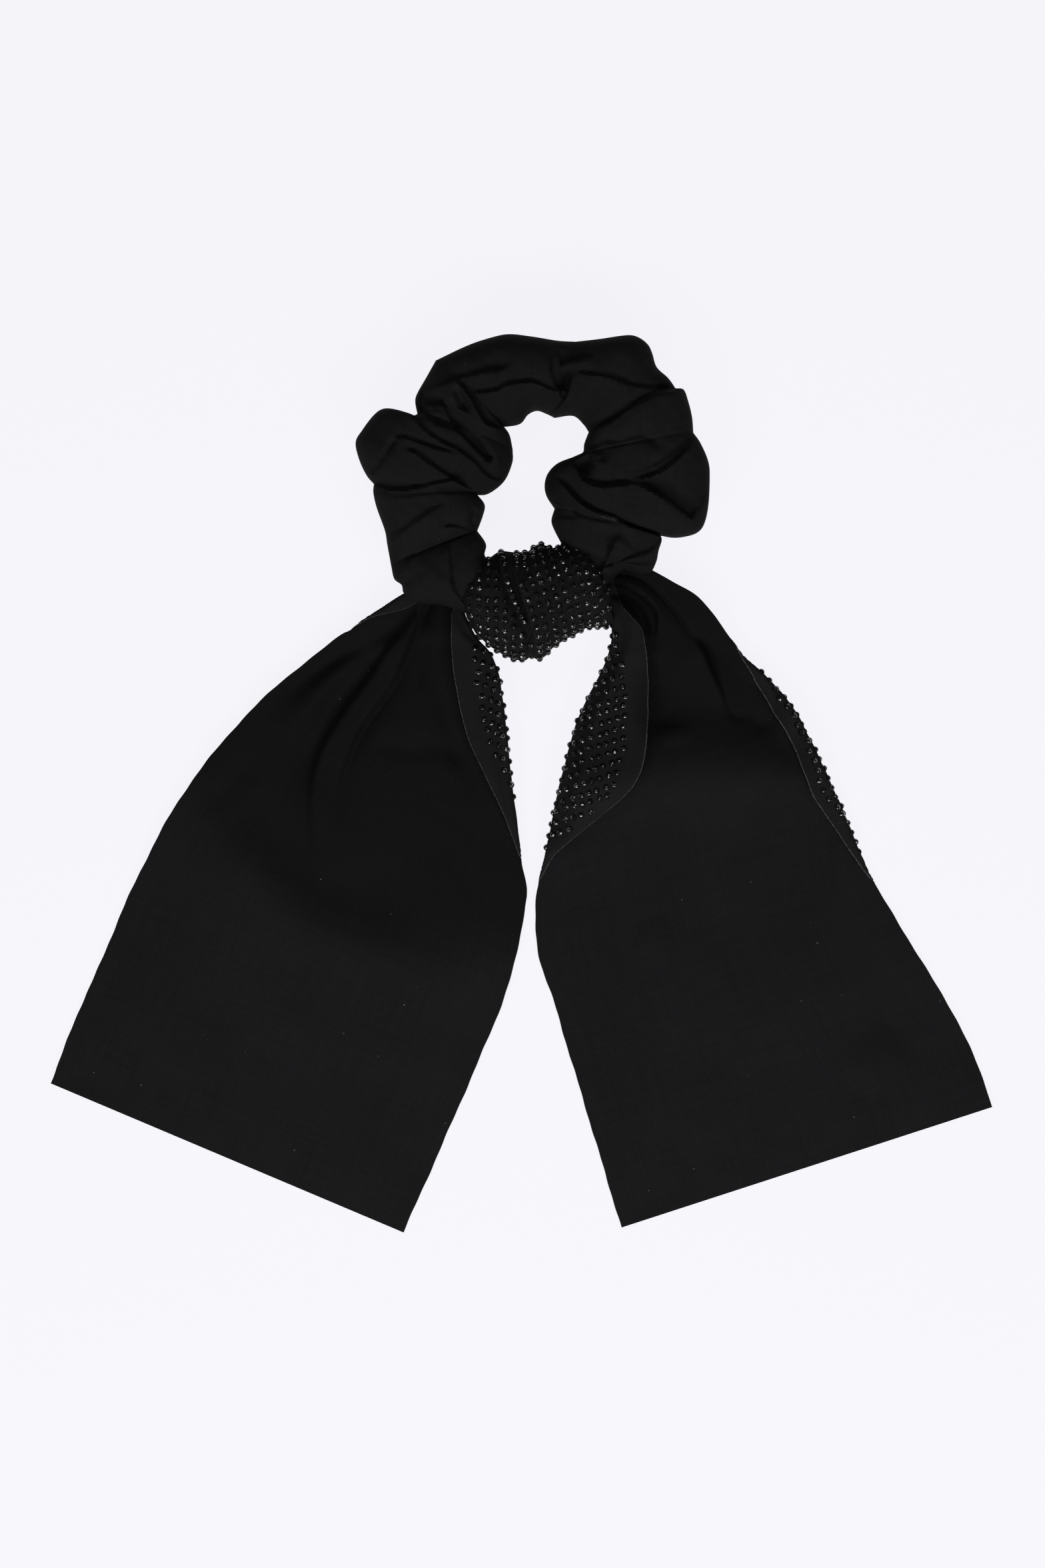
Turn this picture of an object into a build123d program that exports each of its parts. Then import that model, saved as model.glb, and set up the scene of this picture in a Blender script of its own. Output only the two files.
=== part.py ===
from build123d import *
from collections import namedtuple
from math import cos, degrees, radians, sin, tan

# Scarf scrunchie: a gathered cloth ring on a hidden elastic, with a crystal-studded scarf
# wrapped once round the ring and hanging as two broad tails.  It lies flat: +Z is up, +Y
# points from the wrap to the far side of the ring, and the origin is the centre of the
# hair opening on the surface the scrunchie lies on.  All sizes are in millimetres.

# ---------------------------------------------------------------- driving dimensions
cloth_thickness = 0.6          # scarf cloth
stone_diameter = 2.0           # flat-back crystal
stone_table = 1.1              # diameter of the flat on top of a crystal
stone_height = 0.95
stone_pitch_across = 2.6       # crystal grid, across the scarf
stone_pitch_along = 3.1        # crystal grid, along the scarf
bare_margin = 7.5              # cloth with no crystals along each long edge of the scarf
end_margin = 3.0               # the same at the cut ends

ring_centre_height = 15.0      # middle of the cloth ring above the table
elastic_radius = 31.0          # middle of the elastic, relaxed
elastic_width = 6.0
elastic_thickness = 1.2
elastic_overlap_angle = 22.0   # degrees of elastic that are doubled at the join
tunnel_clearance = 0.6         # room round the elastic in its tunnel
split_gap_angle = 0.5          # gap between the two halves of the casing, in degrees
thread_radius = 0.35
join_stitch_rise = 1.6         # join stitches zigzag this far above and below the middle
join_stitch_step = 3.5         # degrees from one join stitch to the next
seam_angle = 262.0             # the casing's closing seam, under the wrap
seam_stitch_length = 2.5
tack_low = 1.2                 # threads that tack the back of the wrap to the ring
tack_high = 11.0
tack_places = [(-7.0, -34.0), (-2.0, -36.5), (4.0, -36.5), (9.0, -34.0)]

wrap_height_middle = 16.2      # middle of the wrap above the table, clear of it by one crystal
wrap_clearance = 0.2           # between the wrap and the ring it grips
pleat_depth = 1.6
pleat_width = 0.9
right_rows_turn = 13.0         # crystal rows right of the pleat rise by this angle
crease_clearance = 0.1         # between a crystal and the edge of a crease
crystal_reach = 96.0           # crystals cover the wrap this far down each side, in degrees from the top

lift_line = 108.0              # where a tail leaves its gathered root, from its cut end
fold_line = 52.0               # where a tail folds, from its cut end
hinge_gap = 0.8                # slit between cloth pieces that bend at a line
field_setback = 1.8            # crystals stay this far from a line where the cloth bends
field_top = 172.0              # crystals under a root end where the cloth lifts off the table
turned_edge_height = 4.6       # top of an edge that is turned over
bend_setback = 1.5             # first crystal of a row, from the bend of a turned edge
shoulder_share = 0.2           # sloping shoulders of a gathered root, as a share of its width
trim_reach = 15.0              # how far past a turned edge's bend a root is cut away

# A station of the ring: angle from +X, inner and outer radius, height of the gathered tube
# and how far its middle is raised above ring_centre_height.  Each puff of the casing is a
# run of stations from one crease to the next.
Station = namedtuple("Station", "angle inner outer height raised")
crease_right = Station(-22, 6.0, 42.5, 24, 0)
crease_right_top = Station(33, 13.0, 53.0, 25, 0)
crease_top = Station(73, 24.0, 48.0, 25, 0)
crease_left_top = Station(140, 9.2, 44.6, 24, 0)
crease_left = Station(180, 12.0, 48.8, 24, 0)
crease_wrap_left = Station(224, 21.5, 51.0, 22, 1.0)
crease_wrap_right = Station(288, 25.0, 42.0, 16, 0.5)
far_puffs = [
    [crease_right, Station(-8, 4.6, 53.0, 29, 0), Station(8, 4.3, 55.5, 30, 0),
     Station(22, 5.5, 54.5, 28, 0), crease_right_top],
    [crease_right_top, Station(45, 23.0, 56.0, 29, 0), Station(58, 26.0, 55.5, 29, 0), crease_top],
    [crease_top, Station(90, 24.0, 47.3, 28, 0), Station(105, 20.5, 48.8, 29, 0),
     Station(122, 12.5, 49.0, 28, 0), crease_left_top],
    [crease_left_top, Station(150, 8.9, 50.0, 28, 0), Station(162, 9.0, 55.5, 30, 0),
     Station(172, 10.3, 53.0, 28, 0), crease_left],
]
near_puffs = [
    [crease_left, Station(195, 16.0, 47.7, 28, 0), Station(210, 18.5, 50.5, 28, 0), crease_wrap_left],
    [crease_wrap_left, Station(238, 24.5, 45.5, 17, 1.0), Station(253, 26.0, 43.0, 15, 0.5),
     Station(270, 26.0, 42.5, 15, 0.5), crease_wrap_right],
    [crease_wrap_right, Station(302, 20.5, 40.5, 18, 1.0), Station(314, 13.0, 42.5, 22, 1.0),
     Station(326, 8.5, 43.5, 25, 0), crease_right._replace(angle=crease_right.angle + 360)],
]

# A slice of the wrap across X: its middle in Y, and its half sizes in Y and Z.
Slice = namedtuple("Slice", "x middle half_width half_height")
wrap_slices = [
    Slice(-21.0, -33.0, 6.5, 6.5),
    Slice(-17.0, -34.0, 12.0, 11.5),
    Slice(-9.0, -35.5, 16.6, 14.2),
    Slice(1.0, -36.0, 18.8, 15.2),
    Slice(10.0, -32.6, 16.0, 14.7),
    Slice(19.0, -31.8, 12.6, 12.5),
    Slice(25.4, -37.3, 5.6, 6.5),
]
# The double pleat on the wrap: two slanted creases, as lines in plan.
pleat_creases = [
    [(-12.2, -21.5), (-7.2, -34.9), (-2.4, -46.5), (-0.4, -54.5)],
    [(-5.7, -27.5), (-2.4, -37.6), (0.6, -54.0)],
]

# A tail lies in its own plane: x across it, y from the middle of its cut end to the wrap.
# Each row gives y, the two side edges in x, and the height of the gathered cloth.
Row = namedtuple("Row", "y left right height")
left_tail_end = (-94.3, -207.5)
left_tail_turn = -22.9         # degrees from +X to the cut end
left_tail_rows = [
    Row(0, -59.3, 59.3, cloth_thickness),
    Row(fold_line, -60.0, 60.0, cloth_thickness),
    Row(lift_line, -54.0, 54.5, cloth_thickness),
    Row(140, -44.5, 35.5, 5.0),
    Row(166, -29.0, 21.0, 8.5),
    Row(188, -13.0, 8.0, 10.5),
]
right_tail_end = (85.4, -210.3)
right_tail_turn = 18.0
right_tail_rows = [
    Row(0, -60.5, 60.5, cloth_thickness),
    Row(fold_line, -59.5, 54.0, cloth_thickness),
    Row(lift_line, -53.0, 43.0, cloth_thickness),
    Row(140, -34.3, 38.0, 5.0),
    Row(165, -14.5, 28.5, 8.5),
    Row(178, -6.5, 22.5, 10.5),
    Row(190, -4.5, 10.0, 10.5),
]

# Edges of the scarf that are turned over so that their crystals show, in plan: the cut edge
# of the cloth, then the bend, both from the wrap downwards.
left_inner_cut = [(-24.6, -47.0), (-23.4, -61.0), (-18.5, -79.8), (-11.2, -95.6), (-3.6, -115.5)]
left_inner_bend = [(-17.0, -47.0), (-9.4, -63.4), (-7.9, -76.8), (-6.1, -92.6), (-3.6, -115.5)]
right_inner_cut = [(31.5, -43.5), (35.9, -61.6), (35.0, -80.1), (29.0, -94.4), (11.0, -109.7), (4.4, -119.5)]
right_inner_bend = [(25.2, -43.5), (20.8, -58.5), (13.1, -75.4), (10.5, -84.9), (6.0, -104.9), (4.4, -119.5)]
right_outer_cut = [(64.0, -50.5), (71.1, -61.5), (76.4, -70.5), (82.2, -81.6), (85.4, -90.5)]
right_outer_bend = [(64.0, -50.5), (73.2, -59.9), (80.1, -67.8), (85.3, -77.9), (91.0, -90.0)]

field_height = stone_height    # the crystals under the scarf hold its cloth off the table


# ---------------------------------------------------------------- shared shapes
def finish(part, name):
    """Give a finished piece its name and write it."""
    part.label = name
    export_step(part, f"parts/{name}.step")


def ring_plane(angle):
    """Upright plane through the ring's axis: x points outwards, y upwards."""
    outwards = (cos(radians(angle)), sin(radians(angle)), 0)
    across = (sin(radians(angle)), -cos(radians(angle)), 0)
    return Plane(origin=(0, 0, 0), x_dir=outwards, z_dir=across)


def rounded_points(middle_x, middle_y, half_x, half_y):
    """Eight points round a full, slightly squared oval."""
    fullness = 1.05
    points = []
    for step in range(8):
        turn = radians(45 * step)
        swell = fullness if step % 2 else 1.0
        points.append((middle_x + half_x * swell * cos(turn), middle_y + half_y * swell * sin(turn)))
    return points


def station_at(puffs, angle):
    """Station of the ring at an angle, between two given ones."""
    for puff in puffs:
        for before, after in zip(puff, puff[1:]):
            if before.angle <= angle <= after.angle:
                share = (angle - before.angle) / (after.angle - before.angle)
                return Station(*[a + share * (b - a) for a, b in zip(before, after)])
    raise ValueError("no puff has that angle")


def station_points(station, grow=0.0):
    """Oval of gathered cloth at one station of the ring, in the station's plane."""
    return rounded_points(
        (station.inner + station.outer) / 2,
        ring_centre_height + station.raised,
        (station.outer - station.inner) / 2 + grow,
        station.height / 2 + grow,
    )


def slice_points(cut, shrink=0.0):
    """Oval of the wrap at one slice, in Y and Z."""
    return rounded_points(cut.middle, wrap_height_middle, cut.half_width - shrink, cut.half_height - shrink)


def casing_half(puffs, grow=0.0):
    """Solid puffed tube through a run of puffs, shortened by the split at both ends."""
    first, last = puffs[0][0], puffs[-1][-1]
    with BuildPart() as half:
        for puff in puffs:
            for station in puff:
                shift = split_gap_angle / 2 * ((station is first) - (station is last))
                with BuildSketch(ring_plane(station.angle + shift)):
                    with BuildLine():
                        Spline(*station_points(station, grow), periodic=True)
                    make_face()
            loft()
    return half.part


def wrap_body(shrink=0.0):
    """Barrel of the wrap, without the passage for the ring."""
    with BuildPart() as barrel:
        for cut in wrap_slices:
            with BuildSketch(Plane(origin=(cut.x, 0, 0), x_dir=(0, 1, 0), z_dir=(1, 0, 0))):
                with BuildLine():
                    Spline(*slice_points(cut, shrink), periodic=True)
                make_face()
        loft()
    return barrel.part


def elastic_ring(grow=0.0):
    """Flat elastic as a closed ring, with the doubled stretch at its join."""
    with BuildPart() as ring:
        with BuildSketch(Plane.XZ):
            with Locations((elastic_radius, ring_centre_height)):
                Rectangle(elastic_thickness + 2 * grow, elastic_width + 2 * grow)
        revolve(axis=Axis.Z)
        with BuildSketch(ring_plane(270 - elastic_overlap_angle / 2)):
            with Locations((elastic_radius + elastic_thickness, ring_centre_height)):
                Rectangle(elastic_thickness + 2 * grow, elastic_width + 2 * grow)
        revolve(axis=Axis.Z, revolution_arc=elastic_overlap_angle)
    return ring.part


def tail_plane(end, turn, height=0.0):
    """Level plane of a tail, with its origin at the middle of the cut end."""
    across = (cos(radians(turn)), sin(radians(turn)), 0)
    return Plane(origin=(end[0], end[1], height), x_dir=across, z_dir=(0, 0, 1))


def width_at(rows, y):
    """The two side edges of a tail at y, between its rows."""
    for low, high in zip(rows, rows[1:]):
        if low.y <= y <= high.y:
            share = (y - low.y) / (high.y - low.y)
            left = low.left + share * (high.left - low.left)
            right = low.right + share * (high.right - low.right)
            return left, right
    raise ValueError("y is off the tail")


def tail_strip(end, turn, rows, low, high, inset, base, thickness):
    """Level piece of a tail from y = low to y = high, its sides drawn in by inset."""
    between = [row.y for row in rows if low < row.y < high]
    levels = [low, *between, high]
    sides = [width_at(rows, y) for y in levels]
    left_side = [(side[0] + inset, y) for side, y in zip(sides, levels)]
    right_side = [(side[1] - inset, y) for side, y in zip(sides, levels)]
    with BuildPart() as strip:
        with BuildSketch(tail_plane(end, turn, base)):
            with BuildLine():
                Polyline(*left_side, *reversed(right_side), close=True)
            make_face()
        extrude(amount=thickness)
    return strip.part


def tail_root(end, turn, rows):
    """Gathered cloth between a tail and the wrap: low and wide at the tail, high and narrow above."""
    gathered = [rows[2]._replace(y=lift_line + hinge_gap / 2), *rows[3:]]
    with BuildPart() as root:
        for row in gathered:
            level = tail_plane(end, turn)
            upright = Plane(origin=level.from_local_coords((0, row.y, 0)), x_dir=level.x_dir, z_dir=-level.y_dir)
            shoulder = (row.right - row.left) * shoulder_share
            base = field_height
            with BuildSketch(upright):
                with BuildLine():
                    Polyline(
                        (row.left, base),
                        (row.right, base),
                        (row.right, base + cloth_thickness),
                        (row.right - shoulder, base + row.height),
                        (row.left + shoulder, base + row.height),
                        (row.left, base + cloth_thickness),
                        close=True,
                    )
                make_face()
        loft(ruled=True)
    return root.part


def turned_edge(cut_edge, bend):
    """Leaf of cloth turned over along the side of a tail."""
    with BuildPart() as leaf:
        with BuildSketch(Plane.XY.offset(field_height)):
            with BuildLine():
                Spline(*cut_edge)
                Spline(*bend)
                for end in (0, -1):
                    if cut_edge[end] != bend[end]:
                        Line(cut_edge[end], bend[end])
            make_face()
        extrude(amount=turned_edge_height - field_height)
    return leaf.part


def beside_cut_edge(cut_edge, bend):
    """Everything beside a turned edge, from its cut edge outwards, to trim a gathered root with."""
    outwards = trim_reach if bend[2][0] > cut_edge[2][0] else -trim_reach
    far_side = [(x + outwards, y) for x, y in reversed(bend)]
    with BuildPart() as trim:
        with BuildSketch(Plane.XY.offset(-field_height)):
            with BuildLine():
                Spline(*cut_edge)
                Polyline(cut_edge[-1], *far_side, cut_edge[0])
            make_face()
        extrude(amount=2 * ring_centre_height)
    return trim.part


def stones(places):
    """Flat-back crystals standing on the given planes, as separate solids."""
    with BuildPart() as group:
        with Locations(*[Location(place) for place in places]):
            Cone(stone_diameter / 2, stone_table / 2, stone_height, align=(Align.CENTER, Align.CENTER, Align.MIN))
    return group.part


def between(points, y):
    """X of a line of plan points at y, or None past its ends."""
    for upper, lower in zip(points, points[1:]):
        if lower[1] <= y <= upper[1]:
            share = (upper[1] - y) / (upper[1] - lower[1])
            return upper[0] + share * (lower[0] - upper[0])
    return None


def leaf_places(cut_edge, bend):
    """Crystal places on a turned edge, in rows from the bend to the bare margin."""
    places = []
    y = bend[0][1] - stone_pitch_along / 2
    side = 1 if bend[1][0] > cut_edge[1][0] else -1
    while y > bend[-1][1]:
        at_bend, at_cut = between(bend, y), between(cut_edge, y)
        if at_cut is not None:
            room = abs(at_bend - at_cut) - bare_margin
            for step in range(int(max(room, 0) / stone_pitch_across) + 1):
                setback = bend_setback + step * stone_pitch_across
                if abs(at_bend - at_cut) > setback + bend_setback:
                    places.append(Plane(origin=(at_bend - side * setback, y, turned_edge_height)))
        y -= stone_pitch_along
    return places


def near_crease(x, y):
    """True where a crystal would stand in a crease of the pleat."""
    for crease in pleat_creases:
        middle = between(crease, y)
        if middle is not None and abs(x - middle) < (stone_diameter + pleat_width) / 2 + crease_clearance:
            return True
    return False


def slice_at(x):
    """Middle and half sizes of the wrap at x, between its slices."""
    for low, high in zip(wrap_slices, wrap_slices[1:]):
        if low.x <= x <= high.x:
            share = (x - low.x) / (high.x - low.x)
            return [a + share * (b - a) for a, b in zip(low[1:], high[1:])]
    raise ValueError("x is off the wrap")


def wrap_places(barrel, ring_keep_out):
    """Crystal places on the wrap: columns across it, rows round it, upright on its surface."""
    surface = barrel.faces().sort_by(SortBy.AREA)[-1]
    places = []
    x = wrap_slices[0].x + stone_diameter
    while x < wrap_slices[-1].x - stone_diameter / 2:
        middle, half_width, half_height = slice_at(x)
        mean_radius = (half_width + half_height) / 2
        turn_step = degrees(stone_pitch_along / mean_radius)
        rise = max(x - pleat_creases[1][1][0], 0) * tan(radians(right_rows_turn))
        turn = -crystal_reach - turn_step + degrees(rise / mean_radius) % turn_step
        while turn <= crystal_reach:
            out = Vector(0, sin(radians(turn)), cos(radians(turn)))
            ray = Axis((x, middle, wrap_height_middle), out)
            hits = [hit for hit in surface.find_intersection_points(ray) if (hit[0] - ray.position).dot(out) > 0]
            if hits and turn >= -crystal_reach:
                point, normal = hits[0]
                if not near_crease(point.X, point.Y) and not ring_keep_out.is_inside(point):
                    upright = normal if normal.dot(out) > 0 else -normal
                    places.append(Plane(origin=point, z_dir=upright))
            turn += turn_step
        x += stone_pitch_across
    return places


# ---------------------------------------------------------------- inside the ring
with BuildPart() as elastic_join_stitches:
    for step in (-2, -1, 0, 1, 2):
        rise = join_stitch_rise if step % 2 else -join_stitch_rise
        turn = radians(270 + join_stitch_step * step)
        start = elastic_radius - elastic_thickness / 2
        foot = (start * cos(turn), start * sin(turn), ring_centre_height + rise)
        with BuildSketch(Plane(origin=foot, z_dir=(cos(turn), sin(turn), 0))):
            Circle(thread_radius)
        extrude(amount=2 * elastic_thickness)
finish(elastic_join_stitches.part, "elastic_join_stitches")

with BuildPart() as elastic_band:
    add(elastic_ring())
    add(elastic_join_stitches.part, mode=Mode.SUBTRACT)
finish(elastic_band.part, "elastic_band")

# ---------------------------------------------------------------- threads of the ring and the wrap
along_seam = Vector(-sin(radians(seam_angle)), cos(radians(seam_angle)), 0)
with BuildPart() as casing_closing_stitches:
    for x, z in station_points(station_at(near_puffs, seam_angle)):
        with BuildSketch(Plane(origin=ring_plane(seam_angle).from_local_coords((x, z, 0)), z_dir=along_seam)):
            Circle(thread_radius)
        extrude(amount=seam_stitch_length / 2, both=True)
finish(casing_closing_stitches.part, "casing_closing_stitches")

with BuildPart() as scarf_tack_stitches:
    for x, y in tack_places:
        with BuildSketch(Plane(origin=(x, y, tack_low))):
            Circle(thread_radius)
        extrude(amount=tack_high - tack_low)
finish(scarf_tack_stitches.part, "scarf_tack_stitches")

# ---------------------------------------------------------------- cloth ring
with BuildPart() as casing_far_half:
    add(casing_half(far_puffs))
    add(elastic_ring(tunnel_clearance), mode=Mode.SUBTRACT)
finish(casing_far_half.part, "casing_far_half")

with BuildPart() as casing_near_half:
    add(casing_half(near_puffs))
    add(elastic_ring(tunnel_clearance), mode=Mode.SUBTRACT)
    add(casing_closing_stitches.part, mode=Mode.SUBTRACT)
    add(scarf_tack_stitches.part, mode=Mode.SUBTRACT)
finish(casing_near_half.part, "casing_near_half")

# ---------------------------------------------------------------- wrap round the ring
plain_wrap = wrap_body()
ring_room = casing_half(near_puffs, wrap_clearance)
with BuildPart() as pleat_grooves:
    for crease in pleat_creases:
        with BuildSketch(Plane.XY.offset(wrap_height_middle)) as groove:
            with BuildLine():
                Polyline(*crease)
            trace(line_width=pleat_width)
        extrude(amount=wrap_height_middle + pleat_depth)
    add(wrap_body(pleat_depth), mode=Mode.SUBTRACT)

with BuildPart() as scarf_wrap:
    add(plain_wrap)
    add(ring_room, mode=Mode.SUBTRACT)
    add(pleat_grooves.part, mode=Mode.SUBTRACT)
    add(casing_closing_stitches.part, mode=Mode.SUBTRACT)
    add(scarf_tack_stitches.part, mode=Mode.SUBTRACT)
finish(scarf_wrap.part, "scarf_wrap")

with BuildPart() as crystals_wrap:
    ring_keep_out = casing_half(near_puffs, wrap_clearance + stone_diameter / 2)
    add(stones(wrap_places(plain_wrap, ring_keep_out)))
finish(crystals_wrap.part, "crystals_wrap")

# ---------------------------------------------------------------- turned edges and their crystals
turned_edges = {
    "left_inner": (left_inner_cut, left_inner_bend),
    "right_inner": (right_inner_cut, right_inner_bend),
    "right_outer": (right_outer_cut, right_outer_bend),
}
for name, (cut_edge, bend) in turned_edges.items():
    with BuildPart() as scarf_turned_edge:
        add(turned_edge(cut_edge, bend))
        add(plain_wrap, mode=Mode.SUBTRACT)
        add(ring_room, mode=Mode.SUBTRACT)
    finish(scarf_turned_edge.part, f"scarf_turned_edge_{name}")

    with BuildPart() as crystals_turned_edge:
        add(stones(leaf_places(cut_edge, bend)))
    finish(crystals_turned_edge.part, f"crystals_turned_edge_{name}")

# ---------------------------------------------------------------- tails
tails = {
    "left": (left_tail_end, left_tail_turn, left_tail_rows),
    "right": (right_tail_end, right_tail_turn, right_tail_rows),
}
half_gap = hinge_gap / 2
for side, (end, turn, rows) in tails.items():
    with BuildPart() as gathered:
        add(tail_root(end, turn, rows))
        add(plain_wrap, mode=Mode.SUBTRACT)
        add(ring_room, mode=Mode.SUBTRACT)
        for name, (cut_edge, bend) in turned_edges.items():
            if name.startswith(side):
                add(beside_cut_edge(cut_edge, bend), mode=Mode.SUBTRACT)
    with BuildPart() as scarf_root:
        add(gathered.part.solids().sort_by(SortBy.VOLUME)[-1])
    finish(scarf_root.part, f"scarf_root_{side}")

    stretches = {
        "upper": (fold_line + half_gap, lift_line - half_gap),
        "lower": (0, fold_line - half_gap),
    }
    for name, (low, high) in stretches.items():
        with BuildPart() as scarf_tail:
            add(tail_strip(end, turn, rows, low, high, 0, field_height, cloth_thickness))
        finish(scarf_tail.part, f"scarf_tail_{side}_{name}")

    fields = {
        "root": (lift_line + field_setback, field_top),
        "upper": (fold_line + field_setback, lift_line - field_setback),
        "lower": (end_margin, fold_line - field_setback),
    }
    for name, (low, high) in fields.items():
        with BuildPart() as crystal_field:
            add(tail_strip(end, turn, rows, low, high, bare_margin, 0, field_height))
            add(plain_wrap, mode=Mode.SUBTRACT)
        finish(crystal_field.part, f"crystal_field_{side}_{name}")
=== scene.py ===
"""Scarf scrunchie, dressed: gathered cloth ring, crystal-studded wrap and two broad tails.

Lengths are held in millimetres in the classes and turned into metres where a mesh is made.
+Z is up from the table, +Y points from the wrap to the far side of the ring.
"""
from __future__ import annotations

import logging
import math
from collections.abc import Iterator
from dataclasses import dataclass
from enum import Enum
from itertools import product

import bpy
import numpy as np
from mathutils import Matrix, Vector


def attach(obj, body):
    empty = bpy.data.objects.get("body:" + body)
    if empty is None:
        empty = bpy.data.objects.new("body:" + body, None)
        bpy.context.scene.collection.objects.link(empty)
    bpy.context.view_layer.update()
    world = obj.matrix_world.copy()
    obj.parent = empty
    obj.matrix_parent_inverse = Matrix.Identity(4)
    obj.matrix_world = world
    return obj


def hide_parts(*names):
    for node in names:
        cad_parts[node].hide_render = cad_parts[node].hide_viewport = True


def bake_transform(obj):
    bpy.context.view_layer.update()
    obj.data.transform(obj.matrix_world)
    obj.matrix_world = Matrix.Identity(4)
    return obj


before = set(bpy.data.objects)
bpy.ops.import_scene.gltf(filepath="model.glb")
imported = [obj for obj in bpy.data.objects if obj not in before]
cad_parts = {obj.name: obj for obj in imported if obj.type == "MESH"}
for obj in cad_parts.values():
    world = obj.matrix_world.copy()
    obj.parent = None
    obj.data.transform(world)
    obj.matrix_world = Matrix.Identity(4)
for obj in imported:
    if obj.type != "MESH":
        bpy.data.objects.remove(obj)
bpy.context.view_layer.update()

LOG = logging.getLogger("scrunchie")
MM = 0.001
SEED = 7
Point = tuple[float, float]
Colour = tuple[float, float, float]
Wave = tuple[float, float, float]   # depth, length and phase

CLOTH_THICKNESS = 0.6
TABLE_GAP = 0.95                 # stones under the cloth hold it this far off the table
CLOTH_REST = TABLE_GAP + CLOTH_THICKNESS / 2
RING_MIDDLE = 15.0               # middle of the cloth ring above the table
STONE_ACROSS = 2.6               # crystal grid, across the scarf
STONE_ALONG = 3.1                # crystal grid, along the scarf
EDGE_SLOT, SECOND_SLOT = 1, 2    # materials of a thickened cloth: its rim, and its second face
SHARP_DEGREES = 55.0             # cloth bent by more than this is shaded as a sharp edge
THREAD_HEIGHT = 0.0002           # how far a thread stands out of cloth, in metres
SLUBS_ACROSS, SLUBS_ALONG = 900.0, 40.0  # uneven threads in each metre, across and along a thread
CAMERA = (-2.86, -91.4, 1352.5)  # straight above the middle of the whole piece


class Side(Enum):
    """Side of a fold line, seen along its direction of travel."""

    LEFT = 1
    RIGHT = -1


class Slot(Enum):
    """Material slots, by name."""

    CASING = "casing_cloth"
    SCARF = "scarf_cloth"
    CRYSTAL = "crystal"
    ELASTIC = "elastic"


# ------------------------------------------------------------------ lines and relief
def under_camera(x: np.ndarray, y: np.ndarray, z: np.ndarray) -> tuple[np.ndarray, np.ndarray]:
    """Where places at height z fall on the table, seen from the camera."""
    spread = CAMERA[2] / (CAMERA[2] - z)
    return CAMERA[0] + (x - CAMERA[0]) * spread, CAMERA[1] + (y - CAMERA[1]) * spread


def raised_to(points: np.ndarray, z: float) -> np.ndarray:
    """Move a line drawn on the table up to height z, so that the camera sees it in the same place."""
    centre = np.array(CAMERA[:2])
    return centre + (points - centre) * (1.0 - z / CAMERA[2])


def smoothstep(low: float, high: float, value: np.ndarray) -> np.ndarray:
    """Smooth rise from 0 at low to 1 at high."""
    share = np.clip((value - low) / (high - low), 0.0, 1.0)
    return share * share * (3.0 - 2.0 * share)


def squared_off(wave: np.ndarray, power: float) -> np.ndarray:
    """A sine or cosine made squarer, with its sign kept."""
    return np.sign(wave) * np.abs(wave) ** power


def reached_at(line: np.ndarray) -> np.ndarray:
    """Distance along a line at each of its points."""
    return np.concatenate([[0.0], np.cumsum(np.linalg.norm(np.diff(line, axis=0), axis=1))])


def smooth_line(points: tuple[Point, ...], steps: int = 6) -> np.ndarray:
    """Round a given line off into a Catmull-Rom curve.

    Args:
        points: Corner points of the line.
        steps: Pieces that each stretch between two points is cut into.

    Returns:
        The curve's points, one row each.
    """
    corners = np.array(points, float)
    if len(corners) < 3:
        return corners
    padded = np.vstack([2 * corners[0] - corners[1], corners, 2 * corners[-1] - corners[-2]])
    rows = []
    for k in range(len(corners) - 1):
        p0, p1, p2, p3 = padded[k : k + 4]
        for step in range(steps):
            t = step / steps
            rows.append(
                0.5 * (2 * p1 + (p2 - p0) * t + (2 * p0 - 5 * p1 + 4 * p2 - p3) * t**2
                       + (3 * p1 - p0 - 3 * p2 + p3) * t**3)
            )
    rows.append(corners[-1])
    return np.array(rows)


def nearest_on_line(x: np.ndarray, y: np.ndarray, line: np.ndarray) -> tuple[np.ndarray, np.ndarray]:
    """Signed distance to a line, positive on its left, and the share of its length reached.

    Args:
        x: Places to measure from.
        y: The same, in the other direction.
        line: Points of the line.

    Returns:
        Signed distances and shares from 0 at the line's start to 1 at its end.
    """
    best = np.full(x.shape, np.inf)
    signed, share = np.zeros(x.shape), np.zeros(x.shape)
    reached = reached_at(line)
    for k, length in enumerate(np.linalg.norm(np.diff(line, axis=0), axis=1)):
        (ax, ay), (ux, uy) = line[k], (line[k + 1] - line[k]) / length
        along = np.clip((x - ax) * ux + (y - ay) * uy, 0.0, length)
        distance = np.hypot(x - ax - along * ux, y - ay - along * uy)
        closer = distance < best
        best = np.where(closer, distance, best)
        side = np.where(ux * (y - ay) - uy * (x - ax) >= 0, 1.0, -1.0)
        signed = np.where(closer, side * distance, signed)
        share = np.where(closer, (reached[k] + along) / reached[-1], share)
    return signed, share


def faded(share: np.ndarray, start: float, end: float) -> np.ndarray:
    """Weight along a line that eases in and out.

    Args:
        share: Share of the line's length reached.
        start: Share over which the weight eases in from 0, or 0 for none.
        end: Share over which it eases out again, or 0 for none.

    Returns:
        Weights from 0 to 1.
    """
    weight = np.ones(share.shape)
    if start > 0:
        weight = weight * smoothstep(0.0, start, share)
    if end > 0:
        weight = weight * smoothstep(0.0, end, 1.0 - share)
    return weight


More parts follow.
